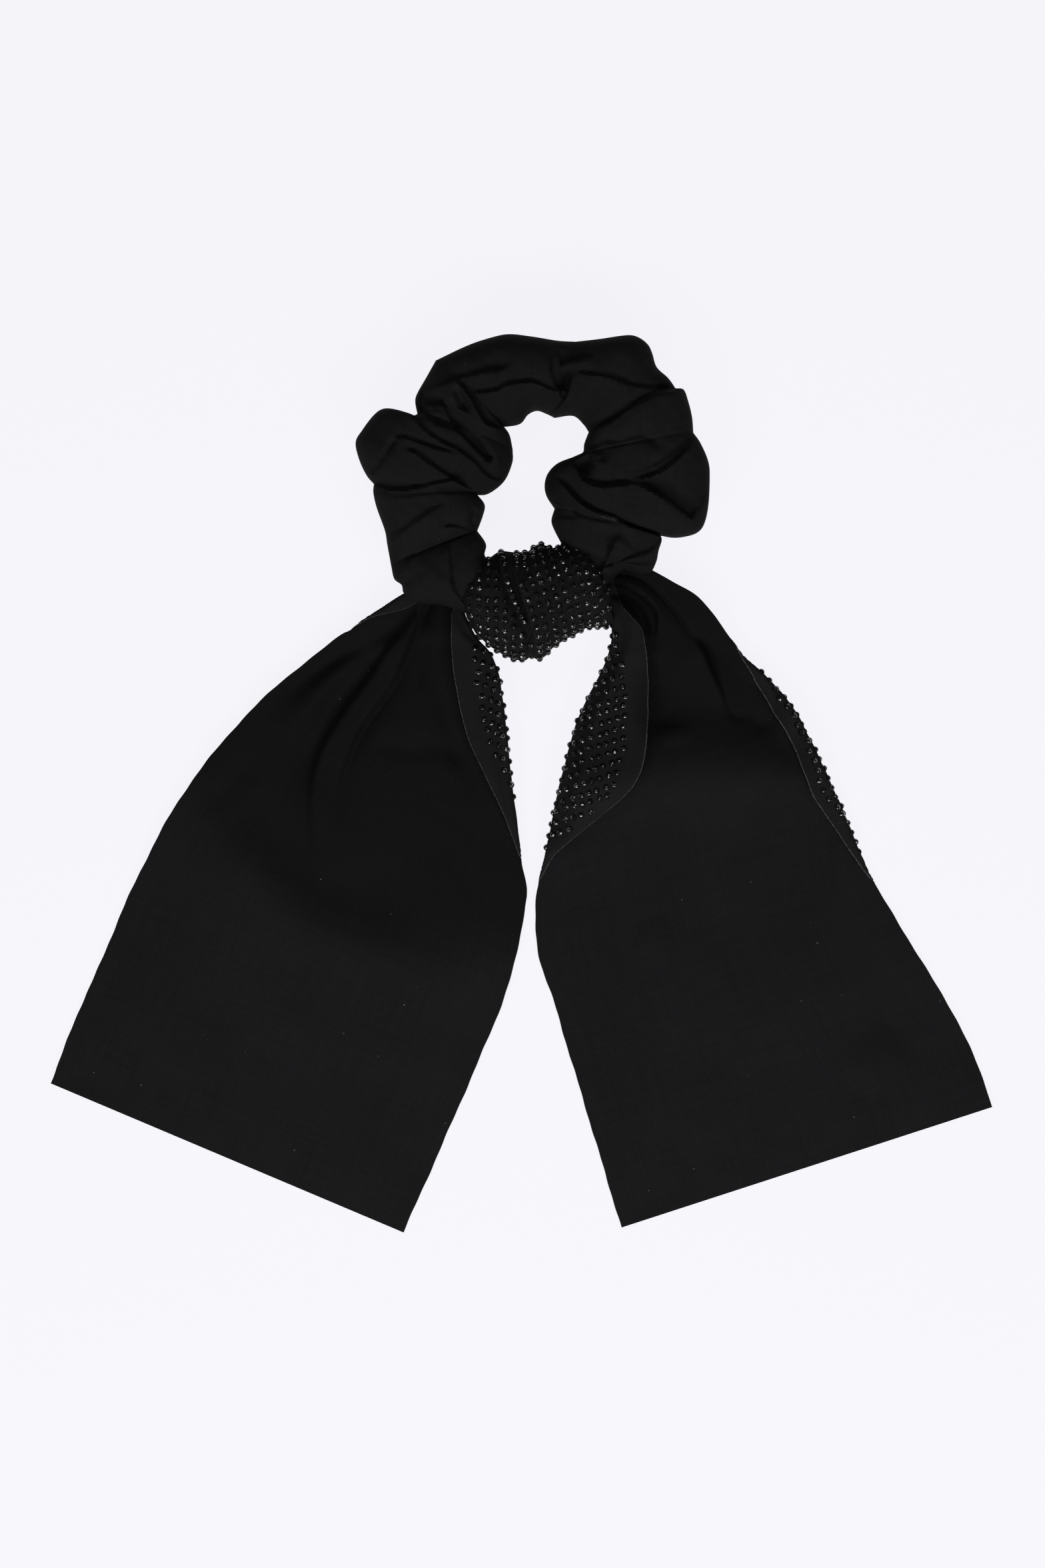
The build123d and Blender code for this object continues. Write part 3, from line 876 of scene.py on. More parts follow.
@dataclass(frozen=True)
class CasingRing:
    """The gathered cloth tube of the ring."""

    finishes: Finishes
    rows: int = 372
    columns: int = 128
    top_columns: int = 84                # columns on the upper half, where the folds are seen
    wall: float = 0.6
    flat: tuple[float, float] = (0.112, 0.270)
    gather: float = 1.4                  # length of flat cloth for each length of the ring
    fullness: float = 0.8
    swell: float = 0.6
    fold_depth: float = 1.4
    table: float = 0.5                   # height below which the cloth is pressed flat
    pressed: float = 0.15
    crumples: tuple[Wave, ...] = ((0.45, 13, 1), (0.2, 5.5, 2))
    under_crumple: Wave = (0.6, 11, 4)
    under_share: float = 0.5             # share of the folds that shows below, the other way up
    puffs: tuple[Puff, ...] = (
        Puff(((28.3, -24.7), (36.1, -25.9), (38.6, -22.7), (39.4, -19), (40.4, -15.7), (39.8, -13.6)),
              ((9.1, -16.5), (7, -12.5), (6.1, -9.6), (7.1, -5.9)), 12, 9.5),
        Puff(((39.8, -13.6), (43.9, -14.8), (48, -14.5), (51.7, -13.2), (53.7, -10.4), (54.9, -4.7),
              (55.3, 3.5), (54.9, 8.5), (52.5, 14.2), (50.2, 17.6)), ((7.1, -5.9), (4.6, -2), (4, 1.5),
              (5, 5), (7.9, 8), (12.5, 9.8)), 14.6, 11.5),
        Puff(((50.2, 17.6), (49.8, 22.4), (48.6, 27.3), (47.2, 30.9), (44.7, 31.4)), ((12.5, 9.8),
              (15.8, 11.4), (16.3, 14.2), (17.7, 17.9)), 13.8, 12.5),
        Puff(((44.7, 31.4), (42.3, 34.6), (38.8, 37.9), (37.5, 42), (36.1, 44.9), (33.2, 47.1), (29.6, 47.8),
              (21, 46.6), (13.6, 45.8)), ((17.7, 17.9), (16.1, 20.3), (12.8, 23), (7.1, 22.4)), 14, 12.5),
        Puff(((13.6, 45.8), (7.9, 46.1), (-0.3, 47.4), (-7.3, 48.1), (-13.5, 46.8), (-20, 44.6),
              (-29.8, 40)), ((7.1, 22.4), (4.6, 23.6), (1.7, 24.6), (-1.1, 23.4), (-3.6, 20.5),
              (-8.9, 19.5)), 14.2, 13),
        Puff(((-29.8, 40), (-32.6, 35), (-35.5, 29.9), (-36.2, 27.3), (-35.5, 23.4)), ((-8.9, 19.5),
              (-6.9, 17), (-5.9, 12.5)), 13.2, 12.5),
        Puff(((-35.5, 23.4), (-37.6, 22.8), (-42, 24.6), (-46.1, 25), (-49.2, 22.9), (-52.7, 18.3),
              (-54.7, 14.6), (-53.6, 9.3), (-51.3, 4.4), (-49, 1.7)), ((-5.9, 12.5), (-6, 8.4), (-8.5, 2.7),
              (-13.4, -1.2), (-17.1, -1.4)), 14.4, 12),
        Puff(((-49, 1.7), (-49.2, -0.9), (-48.2, -5.5), (-45.6, -12.8), (-44.9, -16.9), (-43.7, -23.5)),
              ((-17.1, -1.4), (-14.6, -4.7), (-15.2, -8.2), (-16.9, -12.8)), 13.6, 12.5),
        Puff(((-43.7, -23.5), (-42.7, -27.8), (-40.4, -29.6), (-39.6, -32.5), (-35.5, -35), (-30, -35.6),
              (-27.3, -36), (-22.8, -37.4)), ((-16.9, -12.8), (-14.2, -16.9), (-14.6, -20.4),
              (-12.2, -22.6)), 11.5, 8),
        Puff(((-22.8, -37.4), (-12, -41.5), (0, -43), (12, -40), (21, -32), (28.3, -24.7)), ((-12.2, -22.6),
              (-6, -25.5), (2, -26), (7, -22.5), (9.1, -16.5)), 7, 9.5),
    )
    top_folds: tuple[Fold | Ridge, ...] = (
        # far side: the long fold that runs over the top and down to the opening
        Fold(((-6.1, 40.4), (-9.2, 37.6), (-13.5, 36.8), (-17.1, 36), (-20.8, 35.2), (-23.9, 34.1)),
              Side.LEFT, 0.8, 1.3, 6, 7, 0.3, 0),
        Fold(((-23.9, 34.3), (-20.8, 31.2), (-18.4, 28.1), (-16.5, 24.4), (-14.7, 21.4), (-12.8, 20.2),
              (-9.2, 19)), Side.RIGHT, 0.9, 2.5, 2.5, 1.8, 0.1, 0.1),
        Ridge(((-23.6, 33), (-22.9, 30.5), (-21.9, 28), (-21.2, 25.6), (-21.6, 24.7)), -2, 1.5, 0.3, 0.1),
        Fold(((-20, 30.8), (-15, 30.4), (-11, 31), (-7.5, 32.7), (-3, 33.4), (1, 33.4), (4.5, 32), (9, 30)),
              Side.RIGHT, 0.9, 1, 4, 2.5, 0.1, 0.1),
        Fold(((6, 45.2), (5.7, 40.6), (6.2, 36.2), (8.4, 31.1)), Side.RIGHT, 0.5, 1.3, 2, 4, 0.2, 0),
        Fold(((12.3, 36.5), (11.7, 33), (10.5, 29), (8.5, 26), (6.3, 23.6)), Side.LEFT, 0.9, 1.4, 1.5, 1.5,
              0.1, 0),
        Ridge(((10.6, 37.4), (10, 34), (9, 31.2)), -2.2, 1.7, 0.1, 0.1),
        Fold(((8.9, 38.7), (11.7, 39.7), (15.2, 40.1), (20.3, 41.6)), Side.RIGHT, 0.9, 1.5, 2.5, 5, 0.05,
              0.4),
        Fold(((13, 36.9), (18.4, 35.9), (22.2, 35.5), (26.6, 34.3), (31.6, 32.5), (38, 31.6), (44.3, 31.3)),
              Side.RIGHT, 0.8, 0.9, 4, 1.6, 0.1, 0),
        # right side
        Fold(((44.5, 31.2), (40, 30.5), (35, 28.5), (30, 25.5), (25, 21.6), (20, 19.3), (17.5, 17.8)),
              Side.LEFT, 1.2, 1.1, 6, 1.3, 0, 0),
        Ridge(((38, 31.1), (44.5, 31.2)), -1.3, 1.1, 0.3, 0),
        Ridge(((20.5, 16), (27, 15.7), (31, 17), (35, 17.3), (38.5, 14.5), (41.5, 11.5)), -1.4, 1.6, 0.2,
               0.3),
        Ridge(((19, 9), (17, 8.2), (15.4, 5.6)), -2.7, 2.1, 0.1, 0.1),
        Ridge(((20.9, 13.2), (22.3, 10.9), (21.8, 8.3)), -1, 1.1, 0.3, 0.2),
        Fold(((15.2, 4.8), (16.5, 2.9), (19, 1.7), (22.8, 1.2), (27.2, 1.7), (32.9, 2.4)), Side.RIGHT, 1,
              1.9, 6, 2.2, 0, 0.2),
        Fold(((30, 3), (34.2, 1.4), (38, -0.5), (41.1, -2.4), (44.3, -4.6), (47.5, -7.2), (50.5, -9.4)),
              Side.RIGHT, 0.8, 3.2, 9, 9, 0.3, 0.1),
        Fold(((51, 16.6), (45, 12.4), (40, 8.6), (35, 6.2), (28.5, 3.6)), Side.LEFT, 0.7, 0.8, 5, 1.2, 0,
              0.3),
        Fold(((50, 14.5), (44.5, 9.2), (40, 5.8), (36, 4.3), (30, 2.6)), Side.LEFT, 1.6, 1.2, 2.5, 1.4, 0.15,
              0.2),
        Fold(((6.5, 5), (9.5, 2.2), (12, -0.6), (15.5, -4.2), (20, -6.8), (26, -8.9), (32, -11.8),
              (40.5, -14.3)), Side.RIGHT, 1.5, 2, 9, 2.2, 0.15, 0),
        Fold(((6.5, -3.6), (11, -5.2), (14, -7.6), (18, -9.1), (24, -10.2), (30, -11.5)), Side.RIGHT, 0.4,
              0.9, 2.5, 1.6, 0, 0.3),
        Fold(((6, -8.8), (12, -8.8), (16, -9.4)), Side.RIGHT, 0.3, 0.7, 2, 2, 0, 0.4),
        Fold(((27.5, -13.3), (24.9, -17), (23.5, -21), (22, -24.5)), Side.LEFT, 1.5, 1, 4.5, 6, 0.25, 0),
        Fold(((40, -16), (36, -19.2), (30, -21.3), (25, -23.2), (22, -24.6)), Side.LEFT, 0.9, 1.3, 4, 2, 0,
              0.1),
        Fold(((38, -23.3), (33, -23.2), (28.5, -22.9), (24, -25)), Side.LEFT, 0.7, 1.2, 1.5, 1.5, 0, 0.1),
        # left side
        Fold(((-34.8, 26.7), (-30.5, 26.3), (-27.5, 26.2), (-25.7, 22.8), (-23.3, 18.8), (-20.2, 15.9),
              (-17.1, 12.8), (-14.4, 10.2), (-12.4, 7.3)), Side.RIGHT, 1, 1.8, 5, 1.8, 0.1, 0.1),
        Ridge(((-20.8, 18), (-17.5, 14.9), (-14.8, 12), (-13, 8.8)), -1.9, 1.9, 0.4, 0.1),
        Ridge(((-15.2, 16), (-13.4, 12.8), (-11, 10), (-10.7, 7.4), (-12.8, 5.4)), 0.8, 1.2, 0.3, 0.2),
        Ridge(((-35, 29.2), (-31, 28.8), (-27, 27.9)), -1.4, 1.6, 0.1, 0.2),
        Fold(((-35.6, 24.1), (-32.4, 24.2), (-28.8, 24.5), (-27.3, 23.2), (-27.2, 21.2), (-28.4, 18.6)),
              Side.RIGHT, 0.5, 1.2, 1.8, 1.8, 0, 0.2, 0.9),
        Ridge(((-28.6, 23), (-28.7, 19.4)), -1, 1.4, 0.2, 0.3),
        Fold(((-36.6, 22.4), (-33.1, 18.6), (-29.4, 15.9), (-26.3, 14.3), (-23.3, 12.8), (-20.2, 10.7),
              (-17.1, 8.2), (-14.7, 5.5), (-11.6, 3.4), (-7.9, 3.2)), Side.RIGHT, 0.9, 1.5, 3, 1.3, 0, 0.05),
        Ridge(((-50.5, 4.8), (-47.8, 8.2), (-45.3, 11.6), (-43.2, 14.5), (-41.9, 15.6)), -1.1, 0.9, 0.1,
               0.05),
        Fold(((-42.2, 15.8), (-39.8, 16.4), (-36.7, 15.4), (-32.4, 14), (-28.2, 12.5), (-23.3, 11.3),
              (-20.8, 10.1)), Side.RIGHT, 0.5, 1.4, 2.5, 1.5, 0.05, 0.3),
        Fold(((-40.4, 12.8), (-37.3, 12.2), (-34.3, 10.4), (-30.6, 7.6), (-26.9, 5.2), (-24.5, 3.6),
              (-20.2, 0.6)), Side.RIGHT, 0.9, 1.3, 3, 1.8, 0.15, 0.1),
        Fold(((-49.3, 1.6), (-44, 0.3), (-38, 0.3), (-32, 1.6), (-26, 2.8), (-23.5, 2.8), (-20, 0.8),
              (-17, -1.4)), Side.RIGHT, 0.9, 1.1, 5, 2.2, 0, 0),
        Fold(((-48.8, -0.8), (-42, -2), (-36, -1.7), (-28, -1.1), (-19, -1.4)), Side.RIGHT, 0.4, 0.6, 3, 1.6,
              0, 0.1),
        Fold(((-45, -16), (-40, -12.5), (-35, -9), (-30, -5.7), (-25, -4)), Side.RIGHT, 0.8, 0.7, 4, 3, 0,
              0.3),
        Fold(((-43.5, -27.5), (-40, -24), (-36.5, -20), (-33, -16), (-30, -12.6)), Side.RIGHT, 0.6, 0.6, 7,
              4, 0, 0.3),
        Fold(((-29, -11.6), (-25.5, -11.2), (-22, -11.7), (-16.5, -13.6)), Side.RIGHT, 0.7, 1.1, 4, 2, 0.3,
              0),
        Ridge(((-17, -6), (-18.3, -9), (-17.6, -12)), -2, 1.1, 0.2, 0.2),
        Fold(((-26, -15), (-25.3, -20), (-25, -26), (-24, -31), (-21.5, -34.5)), Side.RIGHT, 0.8, 1.2, 4,
              2.5, 0.3, 0),
    )

    def edge_lines(self) -> tuple[np.ndarray, np.ndarray, np.ndarray]:
        """Follow the ring round, puff by puff.

        Returns:
            Outer edge, inner edge and half height at every row.
        """
        lengths = [sum(reached_at(np.array(edge))[-1] for edge in (p.outer, p.inner)) for p in self.puffs]
        bounds = np.round(np.cumsum([0.0, *lengths]) / sum(lengths) * self.rows).astype(int)
        outer, inner, heights = [], [], []
        for k, (puff, count) in enumerate(zip(self.puffs, np.diff(bounds))):
            share = np.arange(count) / count
            for points, rows in ((puff.outer, outer), (puff.inner, inner)):
                line = raised_to(smooth_line(points, 8), RING_MIDDLE)
                reached = reached_at(line)
                rows.append(np.array([np.interp(share * reached[-1], reached, part) for part in line.T]).T)
            after = self.puffs[(k + 1) % len(self.puffs)].crease_height
            ends = puff.crease_height + (after - puff.crease_height) * share
            heights.append(ends + (puff.half_height - ends) * np.sin(math.pi * share) ** self.swell)
        return np.vstack(outer), np.vstack(inner), np.concatenate(heights)

    def surface(self) -> tuple[np.ndarray, np.ndarray]:
        """Shape the cloth tube with its puffs, folds and crumples.

        Returns:
            Points of the tube and their places on the flat cloth.
        """
        outer, inner, half = self.edge_lines()
        column = np.arange(self.columns)
        over = math.pi * column / self.top_columns
        under = math.pi * (1.0 + (column - self.top_columns) / (self.columns - self.top_columns))
        turn = np.where(column < self.top_columns, over, under)
        across, up = squared_off(np.cos(turn), self.fullness), squared_off(np.sin(turn), self.fullness)
        plan = inner[:, None] + (outer - inner)[:, None] * (0.5 + 0.5 * across)[:, None]
        x, y = plan[..., 0], plan[..., 1]
        bulge = half[:, None] * up
        seen = under_camera(x, y, RING_MIDDLE + np.abs(bulge))
        folds = self.fold_depth * total_relief(*seen, self.top_folds)
        above = folds + crumpled(x, y, *self.crumples)
        below = crumpled(x, y, self.under_crumple) - self.under_share * folds
        z = RING_MIDDLE + bulge + np.where(up > 0, above, below) * np.sqrt(np.abs(np.sin(turn)))
        z = np.maximum(z, self.table + self.pressed * (z - self.table))
        middle = (outer + inner) / 2
        v = reached_at(np.vstack([middle, middle[:1]])) * self.gather
        u = np.linspace(0.0, self.flat[0] / MM, self.columns + 1)
        return np.stack([x, y, z], axis=2), np.stack(np.meshgrid(u, v), axis=2)

    def build(self) -> bpy.types.Object:
        """Make the casing as a cloth wall round its tunnel.

        Returns:
            The casing.
        """
        points, uv = self.surface()
        casing = grid_object("casing_gathered_cloth", points, uv, wrap_rows=True, wrap_columns=True)
        dress(casing, self.finishes.casing, self.finishes.edge)
        orient_outwards(casing)
        thicken(casing, self.wall, offset=-1.0)
        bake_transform(casing)
        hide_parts("casing_near_half", "casing_far_half")
        return casing


@dataclass(frozen=True)
class HiddenElastic:
    """Braided elastic inside the ring, with its doubled join."""

    finishes: Finishes
    radius: float = 31.0
    width: float = 6.0
    thickness: float = 1.2
    join_at: float = 270.0               # middle of the doubled join, in degrees round the ring
    join_degrees: float = 22.0
    rows: int = 360
    rib_pitch: float = 1.1
    rib_depth: float = 0.06
    strand: float = 2.0                  # width of the braid's strands on its flat pattern
    section: tuple[Point, ...] = (       # outwards and up, as shares of thickness and width
        (-0.5, -0.5), (0, -0.52), (0.5, -0.5), (0.56, 0), (0.5, 0.5), (0, 0.52), (-0.5, 0.5), (-0.56, 0),
    )

    def build(self) -> bpy.types.Object:
        """Make the elastic.

        Returns:
            The elastic.
        """
        turn = 2 * math.pi * np.arange(self.rows) / self.rows
        from_join = np.abs((np.degrees(turn) - self.join_at + 180) % 360 - 180)
        end = self.join_degrees / 2
        doubled = 1.0 - smoothstep(end - 1.0, end + 1.0, from_join)
        rib = self.rib_depth * np.sin(turn * self.radius * 2 * math.pi / self.rib_pitch)
        columns = []
        for out, up in self.section:
            radius = self.radius + out * self.thickness * (1.0 + doubled * (out > 0)) + rib * (out != 0)
            height = np.full(self.rows, RING_MIDDLE + up * self.width)
            columns.append(np.stack([radius * np.cos(turn), radius * np.sin(turn), height], axis=1))
        u = np.arange(len(self.section) + 1) * self.strand
        v = np.append(turn, 2 * math.pi) * self.radius
        elastic = grid_object("elastic_inside_casing", np.stack(columns, axis=1),
                              np.stack(np.meshgrid(u, v), axis=2), wrap_rows=True, wrap_columns=True)
        orient_outwards(elastic)
        dress(elastic, self.finishes.elastic)
        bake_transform(elastic)
        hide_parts("elastic_band")
        return elastic


# ------------------------------------------------------------------ the wrap
@dataclass(frozen=True)
class ScarfWrap:
    """Barrel of crystal-studded cloth wrapped round the ring."""

    finishes: Finishes
    setter: StoneSetter
    middle_x: float = 1.95
    half_length: float = 22.95
    middle_height: float = 15.8
    half_height: float = 15.0
    fullness: float = 0.92
    table: float = 1.2                   # lowest height of the cloth
    wall: float = 0.8
    flat: tuple[float, float] = (0.050, 0.102)
    rows: int = 150
    columns: int = 190
    crumple: Wave = (0.22, 9, 3)
    sideways: float = 0.4                # share of the pleats' relief that also widens the barrel
    top_edge: tuple[Point, ...] = (
        (-21, -31.2), (-20.3, -28.4), (-18.7, -25.4), (-16.2, -22.9), (-13.6, -21.6), (-11.4, -19.9),
        (-8.9, -19.1), (-5, -19.6), (-1.2, -19.3), (0.6, -17.6), (2.6, -16.7), (6.5, -18.2), (9.4, -17.6),
        (12.7, -17.1), (16.1, -18), (18.9, -20.6), (21.6, -25), (23.4, -30.1), (24.4, -34.2), (24.9, -38.4),
    )
    bottom_edge: tuple[Point, ...] = (
        (-21, -36.5), (-20.2, -39.7), (-17.4, -44.7), (-13.4, -48.3), (-9.3, -51), (-5.5, -52.9),
        (-1.8, -53), (-0.3, -51.7), (2.2, -53), (4.1, -51.8), (6.8, -48.9), (9.9, -46.8), (14.7, -44.4),
        (16.8, -43), (21, -42.8), (23.3, -42.7), (24.9, -41.4),
    )
    height_line: tuple[Point, ...] = (
        (-21, 7.5), (-19.5, 9.6), (-17, 11.6), (-13, 13.2), (-9, 14.2), (1, 14.8), (10, 14.3),
        (17, 13), (21, 11.2), (23.5, 9), (24.9, 7),
    )
    pleats: tuple[Fold, ...] = (
        Fold(((-12.4, -19), (-10.4, -22.5), (-8.8, -28.4), (-6.6, -35.2), (-3.9, -41), (-1.3, -47),
              (-0.6, -54.5)), Side.LEFT, 1.1, 3.2, 3, 1.5, fade_start=0, fade_end=0, sharpness=0.45),
        Fold(((-6.6, -22.5), (-5.4, -27.8), (-3.4, -34), (-1.3, -41), (0.2, -47), (0.6, -52)), Side.LEFT,
              0.8, 2.6, 3, 1.2, fade_start=0.25, fade_end=0.1, sharpness=0.4),
    )
    hem: tuple[Point, ...] = ((-0.1, 0.93), (0.9, 0.88), (2.4, 0.86), (4.4, 0.86))  # way in, share of size
    hem_step: float = 1.2
    stone_gap: float = 1.2               # room that a stone keeps from a pleat
    strip_gap: float = 0.65              # the same, between the two pleats
    crease_room: float = 0.2             # room that the left columns keep from the first crease
    strip_pitch: float = 2.4
    strip_start: float = 0.6             # way round from the top line to the first stone there
    right_start: float = 0.4             # the same right of the pleats
    margin: float = 0.9                  # border without stones at both ends of the barrel
    under_height: float = 2.2            # lower than this, the cloth that faces down has no stones
    top_line: float = -35.5              # y of the barrel's top
    left_column: float = -8.2            # x of a column of stones left of the pleats
    right_column: float = 1.9            # way from the second pleat to the first column right of it
    right_turn: float = 13.0             # degrees that the rows right of the pleats rise
    stone_sink: float = 0.08

    def surface(self) -> tuple[np.ndarray, np.ndarray]:
        """Shape the barrel, with columns round it from the top.

        Returns:
            Points of the barrel and their places on the flat cloth.
        """
        x = self.middle_x + self.half_length * np.sin(np.linspace(-1.0, 1.0, self.rows) * math.pi / 2)
        top, bottom = (np.interp(x, *raised_to(np.array(edge), self.middle_height).T)
                       for edge in (self.top_edge, self.bottom_edge))
        middle, half = ((top + bottom) / 2)[:, None], ((top - bottom) / 2)[:, None]
        turn = 2 * math.pi * np.arange(self.columns) / self.columns
        up = squared_off(np.cos(turn), self.fullness)
        y = middle + half * squared_off(np.sin(turn), self.fullness)
        z = np.interp(x, *np.array(self.height_line).T)[:, None] * up
        xx = np.repeat(x[:, None], self.columns, axis=1)
        relief = total_relief(xx, y, self.pleats) * np.sqrt(np.clip(up, 0.0, 1.0))
        scale = (relief + crumpled(xx, y, self.crumple)) / self.half_height
        y = middle + (y - middle) * (1.0 + scale * self.sideways)
        z = np.maximum(self.middle_height + z * (1.0 + scale), self.table)
        points = np.stack([xx, y, z], axis=2)
        around = reached_at(points[self.rows // 2])
        u = np.append(around, 2 * around[-1] - around[-2])
        return points, np.stack(np.meshgrid(u, x), axis=2)[..., ::-1]

    def hemmed(self, points: np.ndarray, uv: np.ndarray) -> tuple[np.ndarray, np.ndarray]:
        """Roll both ends of the barrel inwards, as a folded edge of cloth does.

        Args:
            points: The barrel's surface.
            uv: Its places on the flat cloth.

        Returns:
            The same with the rows of both hems.
        """
        for end, inward in ((0, 1.0), (-1, -1.0)):
            ring, flat = points[end], uv[end]
            centre = ring.mean(axis=0)
            for k, (reach, shrink) in enumerate(self.hem):
                turned = centre + (ring - centre) * shrink
                turned[:, 0] = ring[:, 0] + inward * reach
                beyond = flat - [inward * self.hem_step * (k + 1), 0.0]
                points = np.vstack([turned[None], points] if end == 0 else [points, turned[None]])
                uv = np.vstack([beyond[None], uv] if end == 0 else [uv, beyond[None]])
        return points, uv

    def crease_x(self, pleat: int, v: float) -> float:
        """X of a pleat's crease at the length v round the barrel from its top line."""
        x, y = np.array(self.pleats[pleat].points)[::-1].T
        return float(np.interp(self.top_line + v, y, x))

    def stone_plan(self) -> Iterator[tuple[float, float, float]]:
        """List where stones may go: level rows left of the pleats, rising rows right of them.

        Yields:
            X, the length round the barrel from its top line, and the room to keep from a pleat.
        """
        for column, row in product(range(-8, 3), range(-18, 19)):
            x, v = self.left_column + column * STONE_ACROSS, row * STONE_ALONG
            if x < self.crease_x(0, v) - self.crease_room:
                yield x, v, self.stone_gap
        for row in range(-20, 21):
            v = row * self.strip_pitch + self.strip_start
            yield (self.crease_x(0, v) + self.crease_x(1, v)) / 2, v, self.strip_gap
        rise = math.radians(self.right_turn)
        for column, row in product(range(14), range(-20, 21)):
            across, v = column * STONE_ACROSS, row * STONE_ALONG + self.right_start
            x = self.crease_x(1, v) + self.right_column + across * math.cos(rise)
            yield x, v + across * math.tan(rise), self.stone_gap

    def stone_places(self, points: np.ndarray) -> tuple[np.ndarray, np.ndarray]:
        """Choose the places of the stones on the barrel.

        Args:
            points: The barrel's surface.

        Returns:
            Feet of the stones and the way that each one faces.
        """
        normals = surface_normals(points, True)
        if ((points - points.mean(axis=(0, 1))) * normals).sum() < 0:
            normals = -normals
        rows_x = points[:, 0, 0]
        lengths = np.linalg.norm(np.roll(points, -1, axis=1) - points, axis=2)
        around = np.concatenate([np.zeros((self.rows, 1)), np.cumsum(lengths, axis=1)], axis=1)
        creases = [smooth_line(fold.points) for fold in self.pleats]
        places, facing = [], []
        for x, v, gap in self.stone_plan():
            row = int(np.argmin(np.abs(rows_x - x)))
            total = around[row, -1]
            on_cloth = rows_x[0] + self.margin < x < rows_x[-1] - self.margin
            if not (on_cloth and -total / 2 < v <= total / 2):
                continue
            column = int(np.searchsorted(around[row, :-1], v % total)) % self.columns
            place, normal = points[row, column], normals[row, column]
            beneath = place[2] < self.under_height and normal[2] < -0.3
            near = (abs(nearest_on_line(place[:1], place[1:2], line)[0][0]) < gap for line in creases)
            if beneath or (normal[2] > 0.1 and any(near)):
                continue
            places.append([x, place[1], place[2]])
            facing.append(normal)
        return np.array(places), np.array(facing)

    def build(self) -> list[bpy.types.Object]:
        """Make the wrap and its stones.

        Returns:
            The cloth and the stones.
        """
        points, uv = self.surface()
        wrap = grid_object("scarf_wrap_cloth", *self.hemmed(points, uv), wrap_columns=True)
        dress(wrap, self.finishes.ribbed, self.finishes.ribbed)
        orient_outwards(wrap)
        thicken(wrap, self.wall, offset=-1.0)
        places, facing = self.stone_places(points)
        stones = self.setter.place("crystals_on_wrap", places - facing * self.stone_sink, facing, SEED)
        for piece, slot, node in ((wrap, Slot.SCARF, "scarf_wrap"), (stones, Slot.CRYSTAL, "crystals_wrap")):
            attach(piece, "root")
            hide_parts(node)
        LOG.info("wrap: %d stones", len(places))
        return [wrap, stones]


# ------------------------------------------------------------------ the tails
@dataclass(frozen=True)
class Lapel:
    """Edge of a tail that is turned over: the cut edge of the cloth and the bend, in plan."""

    cut: tuple[Point, ...]
    bend: tuple[Point, ...]
    bend_radius: float = 1.5
    lift: float = 0.8
    bare: float = 7.5                    # border without stones


@dataclass(frozen=True)
class Stretch:
    """One of a tail's two pieces, with the body it belongs to, the next body and where the joint between
    them lies.
    """

    part: str
    low: float
    high: float
    body: str
    child: str
    joint: float
    cloth_nodes: list[str]
    stone_nodes: list[str]


